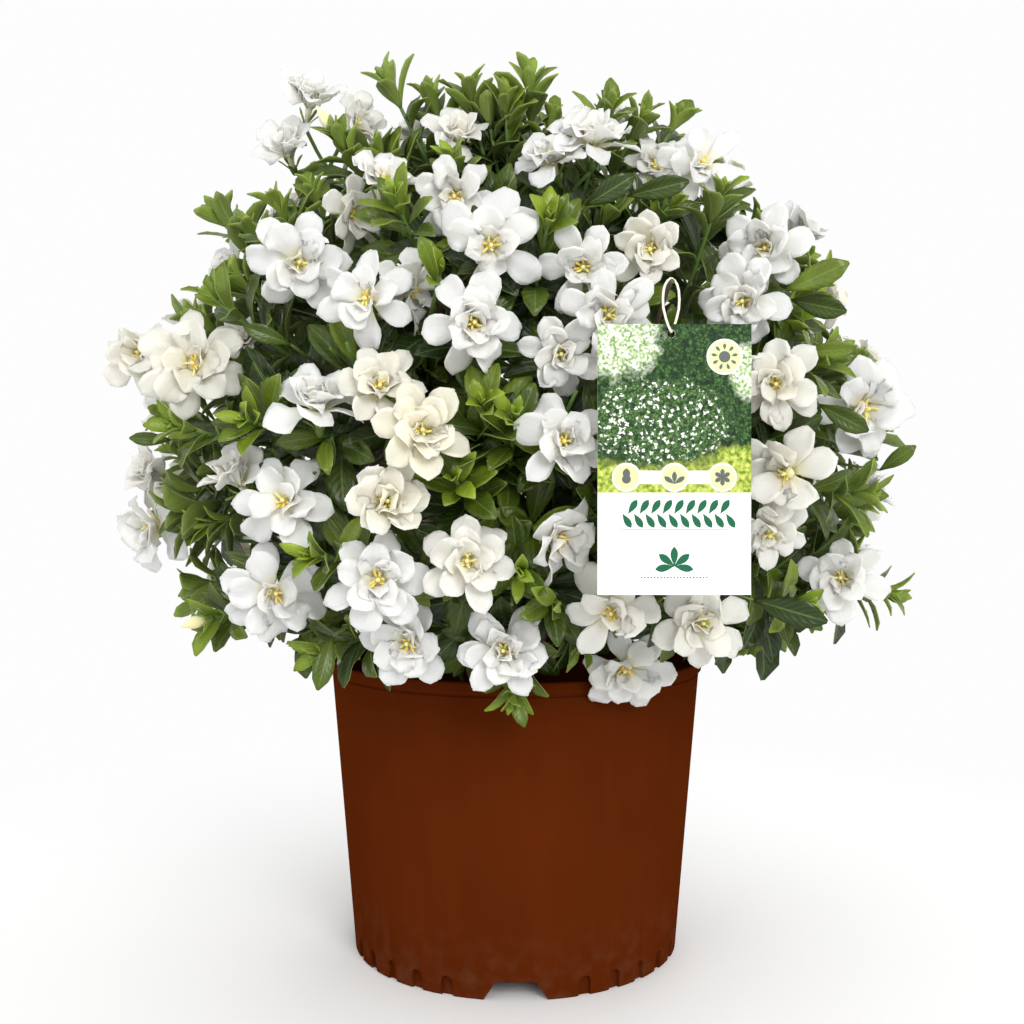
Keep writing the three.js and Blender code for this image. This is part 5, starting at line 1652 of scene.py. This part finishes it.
class GARDENIA_OT_branches(Operator):
    """Grow the leafy branches"""

    bl_idname = "gardenia.branches"
    bl_label = "Leafy branches"

    def execute(self, context):
        shrub = context.scene.gardenia_shrub
        stem_finish(shrub.bark)
        leaf_finish(shrub.young_leaf, shrub.old_leaf)
        leaf_under_finish(shrub.young_leaf, shrub.old_leaf)
        petal_finish(shrub.petal, shrub.cream)
        anther_finish()
        for number, branch in enumerate(LAYOUT["branches"]):
            draw = numbers(BRANCH_SEED + number)
            growth = Growth("stem", "leaf", "leaf_under", "petal", "anther")
            foot, top = branch["leader"]
            add_rod(growth, "stem", straight(foot, top), LEADER_RADII, "stem")
            for target in branch["targets"]:
                self.grow(growth, target, draw)
            settle(growth.build(branch["name"] + "_leaves"), "foliage", branch["name"])
        return {"FINISHED"}

    def grow(self, growth, target, draw):
        start = target["start"]
        point = target["point"]
        if target["kind"] == "shoot":
            along = (point - start).normalized()
            tip = point - along * TIP_CUT * max(0, along.z)
            axis = add_shoot(growth, start, tip, TIP_WHORLS, draw)
            if draw() < BUD_SHARE:
                length = BUD_LENGTH + BUD_GROWTH * draw()
                add_bud(growth, tip + axis * BUD_AHEAD, axis, length, draw)
        elif target["kind"] == "sprig":
            add_shoot(growth, start, point, SPRIG_WHORLS, draw, 0.8 + 0.3 * draw())
        elif target["kind"] == "filler":
            add_shoot(growth, start, point, FILLER_WHORLS, draw, 0.85 + 0.3 * draw(), inner=True)
        elif target["kind"] == "holder":
            tip = target["tip"]
            add_rod(growth, "twig", [start, point, tip], HOLDER_RADII, "stem", 0, 0.35)
        elif target["kind"] == "leaf":
            self.grow_leaf(growth, start, point, target["leaf"], draw)
        elif target["kind"] == "bloom":
            axis = add_shoot(growth, start, point, COLLAR_WHORLS, draw, 0.9)
            add_bloom(growth, target["bloom"], [point - axis * STALK_GATHER], draw)
        else:
            along = (point - start).normalized()
            cut = point - along * STALK_LENGTH
            knee = start.lerp(cut, 0.55) + Vector((draw() - 0.5, draw() - 0.5, draw() - 0.5)) * 8
            add_rod(growth, "twig", [start, knee, cut], SPRAY_RADII, "stem", 0, 0.8)
            turn = draw() * math.pi
            for i, whorl in enumerate(COLLAR_WHORLS):
                add_whorl(growth, cut, along, whorl, turn + i * math.pi / 3, draw)

    def grow_leaf(self, growth, start, root, leaf, draw):
        """A large leaf that turns its face to the front, on a twig of its own"""
        viewer, right, above = view_frame(root)
        angle = math.radians(leaf.angle)
        outward = between(right, above, angle)
        knee = start.lerp(root, 0.7) - viewer * 6
        add_rod(growth, "twig", [start, knee, root], LEAF_TWIG_RADII, "stem", 0, 0.7)
        add_leaf(growth, "leaf", root - outward, viewer, outward, leaf.length, 1.35, leaf.young, draw)


class GARDENIA_OT_blooms(Operator):
    """Open the blooms, spray by spray"""

    bl_idname = "gardenia.blooms"
    bl_label = "Blooms"

    def execute(self, context):
        for number, spray in enumerate(LAYOUT["sprays"], 1):
            draw = numbers(SPRAY_SEED + number)
            growth = Growth("petal", "stem", "leaf", "leaf_under", "anther")
            meeting = spray["point"]
            along = (meeting - spray["start"]).normalized()
            start = meeting - along * (STALK_LENGTH - GAP)
            for i, bloom in enumerate(spray["members"]):
                if i:
                    stalk = [meeting.lerp(start, STALK_JOINTS[i] / STALK_LENGTH)]
                else:
                    stalk = [start, meeting] if len(spray["members"]) > 1 else [start]
                add_bloom(growth, bloom, stalk, draw)
            name = f"bloom_spray_{number:02d}"
            settle(growth.build(name + "_petals"), "petals", name)
        return {"FINISHED"}


def flat_slab(name, low, high, front, thickness, finish):
    """A thin printed panel on the front of the card, between two corners given across and up"""
    deselect()
    centre = ((low[0] + high[0]) / 2, -front - thickness / 2, (low[1] + high[1]) / 2)
    bpy.ops.mesh.primitive_cube_add(size=1, location=[value * MM for value in centre])
    slab = bpy.context.object
    slab.name = name
    slab.scale = ((high[0] - low[0]) * MM, thickness * MM, (high[1] - low[1]) * MM)
    apply_all(slab)
    slab.data.materials.append(bpy.data.materials[finish])
    return slab


def print_disc(ink, centre, radius, layer, finish):
    """A thin printed disc on the front of the card"""
    back = Vector((centre[0], -layer, centre[1]))
    face = back - Vector((0, INK, 0))
    add_rod(ink, "disc", straight(back, face), [radius, radius], finish)


def print_badge(ink, centre, radii, layer):
    """A pale green disc on a white one"""
    print_disc(ink, centre, radii[1], layer, "print_white")
    print_disc(ink, centre, radii[0], layer + INK, "print_badge")


def print_leaf(ink, root, angle, length, width, layer, finish):
    """A thin printed leaf on the front of the card, at an angle in degrees from straight up"""
    angle = math.radians(angle)
    outward = Vector((math.sin(angle), 0, math.cos(angle)))
    place = Vector((root[0], -layer - INK, root[1]))
    leaf = BLANKS["leaf"]
    thin = leaf._replace(corners=leaf.corners * np.array((1, 1, 0.1)))
    ink.add(thin, blade_places(thin, place, Vector((0, -1, 0)), outward, length, width, 0, 0), finish)


class GARDENIA_OT_tag(Operator):
    """Finish the hang tag with a generic garden print, and its string loop"""

    bl_idname = "gardenia.tag"
    bl_label = "Tag"

    def execute(self, context):
        settings = context.scene.gardenia_tag
        for name, colour in {"card": settings.card, **INKS}.items():
            card_finish(name, colour)
        picture_finish(settings)
        string_finish(settings.string)
        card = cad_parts["tag"]
        card.data.materials.clear()
        card.data.materials.append(bpy.data.materials["card"])
        self.print_picture(settings)
        self.hang_loop()
        return {"FINISHED"}

    def print_picture(self, settings):
        """Garden, badges, border of leaves and rules, in thin layers of ink on the card's front"""
        middle = TAG_CENTRE.x
        left = middle - settings.width / MM / 2
        right = middle + settings.width / MM / 2
        low = TAG_CENTRE.z - settings.height / MM / 2
        high = TAG_CENTRE.z + settings.height / MM / 2
        front = -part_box("tag")[0].y / MM
        split = high - settings.picture / MM
        garden = flat_slab("print_garden", (left, split), (right, high), front, INK, "printed_garden")
        deselect()
        bpy.ops.mesh.primitive_cylinder_add(
            vertices=32, radius=HOLE_RADIUS * MM, depth=10 * MM, location=HOLE * MM,
            rotation=(math.pi / 2, 0, 0))
        punch = bpy.context.object
        cut = garden.modifiers.new("Hole", "BOOLEAN")
        cut.operation = "DIFFERENCE"
        cut.object = punch
        apply_all(garden)
        bpy.data.objects.remove(punch)
        settle(garden, "card")
        ink = Growth(*INKS)
        layer = front + INK
        sun = (right - SUN_IN, high - SUN_DOWN)
        print_badge(ink, sun, SUN_BADGE, layer)
        self.print_icon(ink, 0, sun, SUN_SIZE, layer + 2 * INK)
        for i in range(BADGES):
            centre = (lerp(left + BADGE_IN, right - BADGE_IN, i / (BADGES - 1)), split + BADGE_UP)
            print_badge(ink, centre, BADGE, layer + INK)
            self.print_icon(ink, i + 1, centre, 1, layer + 3 * INK)
        corners = ((left + BAND_IN, split + BAND_UP[0]), (right - BAND_IN, split + BAND_UP[1]))
        settle(flat_slab("print_band", *corners, layer, INK, "print_white"), "card")
        for i in range(BORDER_LEAVES):
            share = i / (BORDER_LEAVES - 1)
            root = (lerp(middle - BORDER_REACH, middle + BORDER_REACH, share), split - BORDER_DOWN)
            print_leaf(ink, root, BORDER_TURNS[i % 2], *BORDER_LEAF, front, "print_green")
        for angle in FLOWER_TURNS:
            print_leaf(ink, (middle, low + FLOWER_UP), angle, *FLOWER_LEAF, front, "print_green")
        for i in range(DOTS):
            centre = (lerp(middle - DOT_REACH, middle + DOT_REACH, i / (DOTS - 1)), low + DOT_UP)
            print_disc(ink, centre, DOT_RADIUS, front, "print_grey")
        settle(ink.build("print_motifs", smooth=False), "card")
        rules = [(split - down, RULE_THICK, RULE_REACH) for down in RULES_DOWN]
        rules.append((low + FOOT_RULE_UP, FOOT_RULE_THICK, FOOT_RULE_REACH))
        for number, (top, thick, reach) in enumerate(rules):
            corners = ((middle - reach, top - thick), (middle + reach, top))
            settle(flat_slab(f"print_rule_{number}", *corners, front, INK, "print_rule"), "card")

    def print_icon(self, ink, number, centre, size, layer):
        """A sun, a drop, a seedling or a flower"""
        x, z = centre
        if number == 0:
            print_disc(ink, centre, 2.2 * size, layer, "print_grey")
            for ray in range(0, 360, 40):
                angle = math.radians(ray)
                root = (x + 2.7 * size * math.sin(angle), z + 2.7 * size * math.cos(angle))
                print_leaf(ink, root, ray, 2.4 * size, 1.2 * size, layer, "print_grey")
        elif number == 1:
            print_disc(ink, (x, z - 1), 2.3, layer, "print_grey")
            print_leaf(ink, (x, z - 2), 0, 6.6, 4, layer + INK, "print_grey")
        elif number == 2:
            for angle in (-55, 0, 55):
                print_leaf(ink, (x, z - 3.4), angle, 6.4, 2.6, layer, "print_grey")
        else:
            for angle in range(0, 360, 60):
                print_leaf(ink, centre, angle, 4.4, 2.4, layer, "print_grey")

    def hang_loop(self):
        """A closed loop through the hole and over the twig, in two runs"""
        half = [Vector(place) for place in LOOP_HALF]
        back = [Vector((-place.x, -place.y, place.z)) for place in reversed(half)]
        knots = [Vector((0, 0, LOOP_FOOT)), *half, Vector((0, 0, LOOP_HEIGHT)), *back]
        knots = [HOLE + knot for knot in knots]
        loop = Growth("string")
        top = len(half) + 1
        runs = (knots[:top + 1], [*knots[top:], knots[0]])
        for run in runs:
            add_rod(loop, "stem", run, [LOOP_RADIUS, LOOP_RADIUS], "string")
        settle(loop.build("string_loop"), "string", "tag_loop")


def sweep_finish(colour):
    """A pale floor that fades, away from the plant, into an evenly glowing wall"""
    finish = Finish("studio_floor", colour, 0.7, Specular_IOR_Level=0.0, Emission_Color=(1, 1, 1, 1))
    finish.material.cycles.emission_sampling = "NONE"
    place = finish.parts(finish.place)
    reach = finish.distance(place["X"], place["Y"])
    away = finish.node("MapRange", {"Value": reach, "From Min": GLOW_START, "From Max": GLOW_FULL})[0]
    finish.colour(finish.mix(away, colour, (0, 0, 0)))
    finish.feed(finish.shader, {"Emission Strength": finish.math("MULTIPLY", away, GLOW)})


def add_light(kind):
    """A square soft light, turned towards its aim and hidden from the camera"""
    deselect()
    bpy.ops.object.light_add(type="AREA", location=kind.place)
    light = bpy.context.object
    light.name = kind.name
    light.data.size = kind.size
    light.data.energy = kind.energy
    light.data.color = kind.colour
    towards = Vector(kind.aim) - Vector(kind.place)
    light.rotation_euler = towards.to_track_quat("-Z", "Y").to_euler()
    light.visible_camera = False


class GARDENIA_OT_stage(Operator):
    """Set up the pale floor, the soft light and the camera"""

    bl_idname = "gardenia.stage"
    bl_label = "Stage"

    def execute(self, context):
        settings = context.scene.gardenia_stage
        sweep_finish(settings.floor)
        floor = self.sweep()
        floor.data.materials.append(bpy.data.materials["studio_floor"])
        world = bpy.data.worlds.new("studio")
        context.scene.world = world
        world.use_nodes = True
        background = world.node_tree.nodes["Background"]
        background.inputs["Color"].default_value = (1, 1, 1, 1)
        background.inputs["Strength"].default_value = WORLD_STRENGTH
        for light in LIGHTS:
            add_light(light)
        deselect()
        bpy.ops.object.camera_add(location=EYE * MM, rotation=(math.pi / 2 - PITCH, 0, 0))
        camera = bpy.context.object
        camera.data.lens = settings.lens
        camera.data.sensor_width = SENSOR_WIDTH
        context.scene.camera = camera
        context.scene.view_settings.view_transform = "Standard"
        return {"FINISHED"}

    def sweep(self):
        """A round floor that curves up into a wall"""
        deselect()
        bpy.ops.mesh.primitive_circle_add(vertices=SWEEP_SIDES, radius=SWEEP_FLAT, fill_type="TRIFAN")
        floor = bpy.context.object
        floor.name = "studio_floor"
        bpy.ops.object.mode_set(mode="EDIT")
        select_where(lambda place: place.length > SWEEP_FLAT / 2)
        last = SWEEP_FLAT
        below = 0
        for step in range(1, SWEEP_STEPS + 1):
            angle = step / SWEEP_STEPS * math.pi / 2
            reach = SWEEP_FLAT + SWEEP_CURVE * math.sin(angle)
            height = SWEEP_CURVE * (1 - math.cos(angle))
            bpy.ops.mesh.extrude_region_move(TRANSFORM_OT_translate={"value": (0, 0, height - below)})
            bpy.ops.transform.resize(value=(reach / last, reach / last, 1), center_override=(0, 0, 0))
            last = reach
            below = height
        bpy.ops.mesh.extrude_region_move(TRANSFORM_OT_translate={"value": (0, 0, SWEEP_WALL)})
        bpy.ops.object.mode_set(mode="OBJECT")
        bpy.ops.object.shade_smooth()
        return floor


class GARDENIA_PT_panel(Panel):
    """Lists the steps and the settings of the potted gardenia"""

    bl_idname = "GARDENIA_PT_panel"
    bl_label = "Potted gardenia"
    bl_space_type = "VIEW_3D"
    bl_region_type = "UI"
    bl_category = "Gardenia"

    def draw(self, context):
        for step in STEPS:
            self.layout.operator(step.bl_idname)
        for group in SETTINGS:
            settings = getattr(context.scene, group)
            box = self.layout.box()
            for name in settings.bl_rna.properties.keys():
                if name not in ("rna_type", "name"):
                    box.prop(settings, name)


SETTINGS = {
    "gardenia_pot": PotSettings,
    "gardenia_shrub": ShrubSettings,
    "gardenia_tag": TagSettings,
    "gardenia_stage": StageSettings,
}
STEPS = (
    GARDENIA_OT_pot,
    GARDENIA_OT_soil,
    GARDENIA_OT_trunk,
    GARDENIA_OT_branches,
    GARDENIA_OT_blooms,
    GARDENIA_OT_tag,
    GARDENIA_OT_stage,
)


def register():
    for item in (*SETTINGS.values(), *STEPS, GARDENIA_PT_panel):
        bpy.utils.register_class(item)
    for name, group in SETTINGS.items():
        setattr(bpy.types.Scene, name, PointerProperty(type=group))


def unregister():
    for name in SETTINGS:
        delattr(bpy.types.Scene, name)
    for item in reversed((*SETTINGS.values(), *STEPS, GARDENIA_PT_panel)):
        bpy.utils.unregister_class(item)


def main():
    register()
    deselect()
    shrub = bpy.context.scene.gardenia_shrub
    model_blanks(shrub)
    lay_out(shrub.fillers)
    for step in STEPS:
        group, name = step.bl_idname.split(".")
        getattr(getattr(bpy.ops, group), name)()


if __name__ == "__main__":
    main()
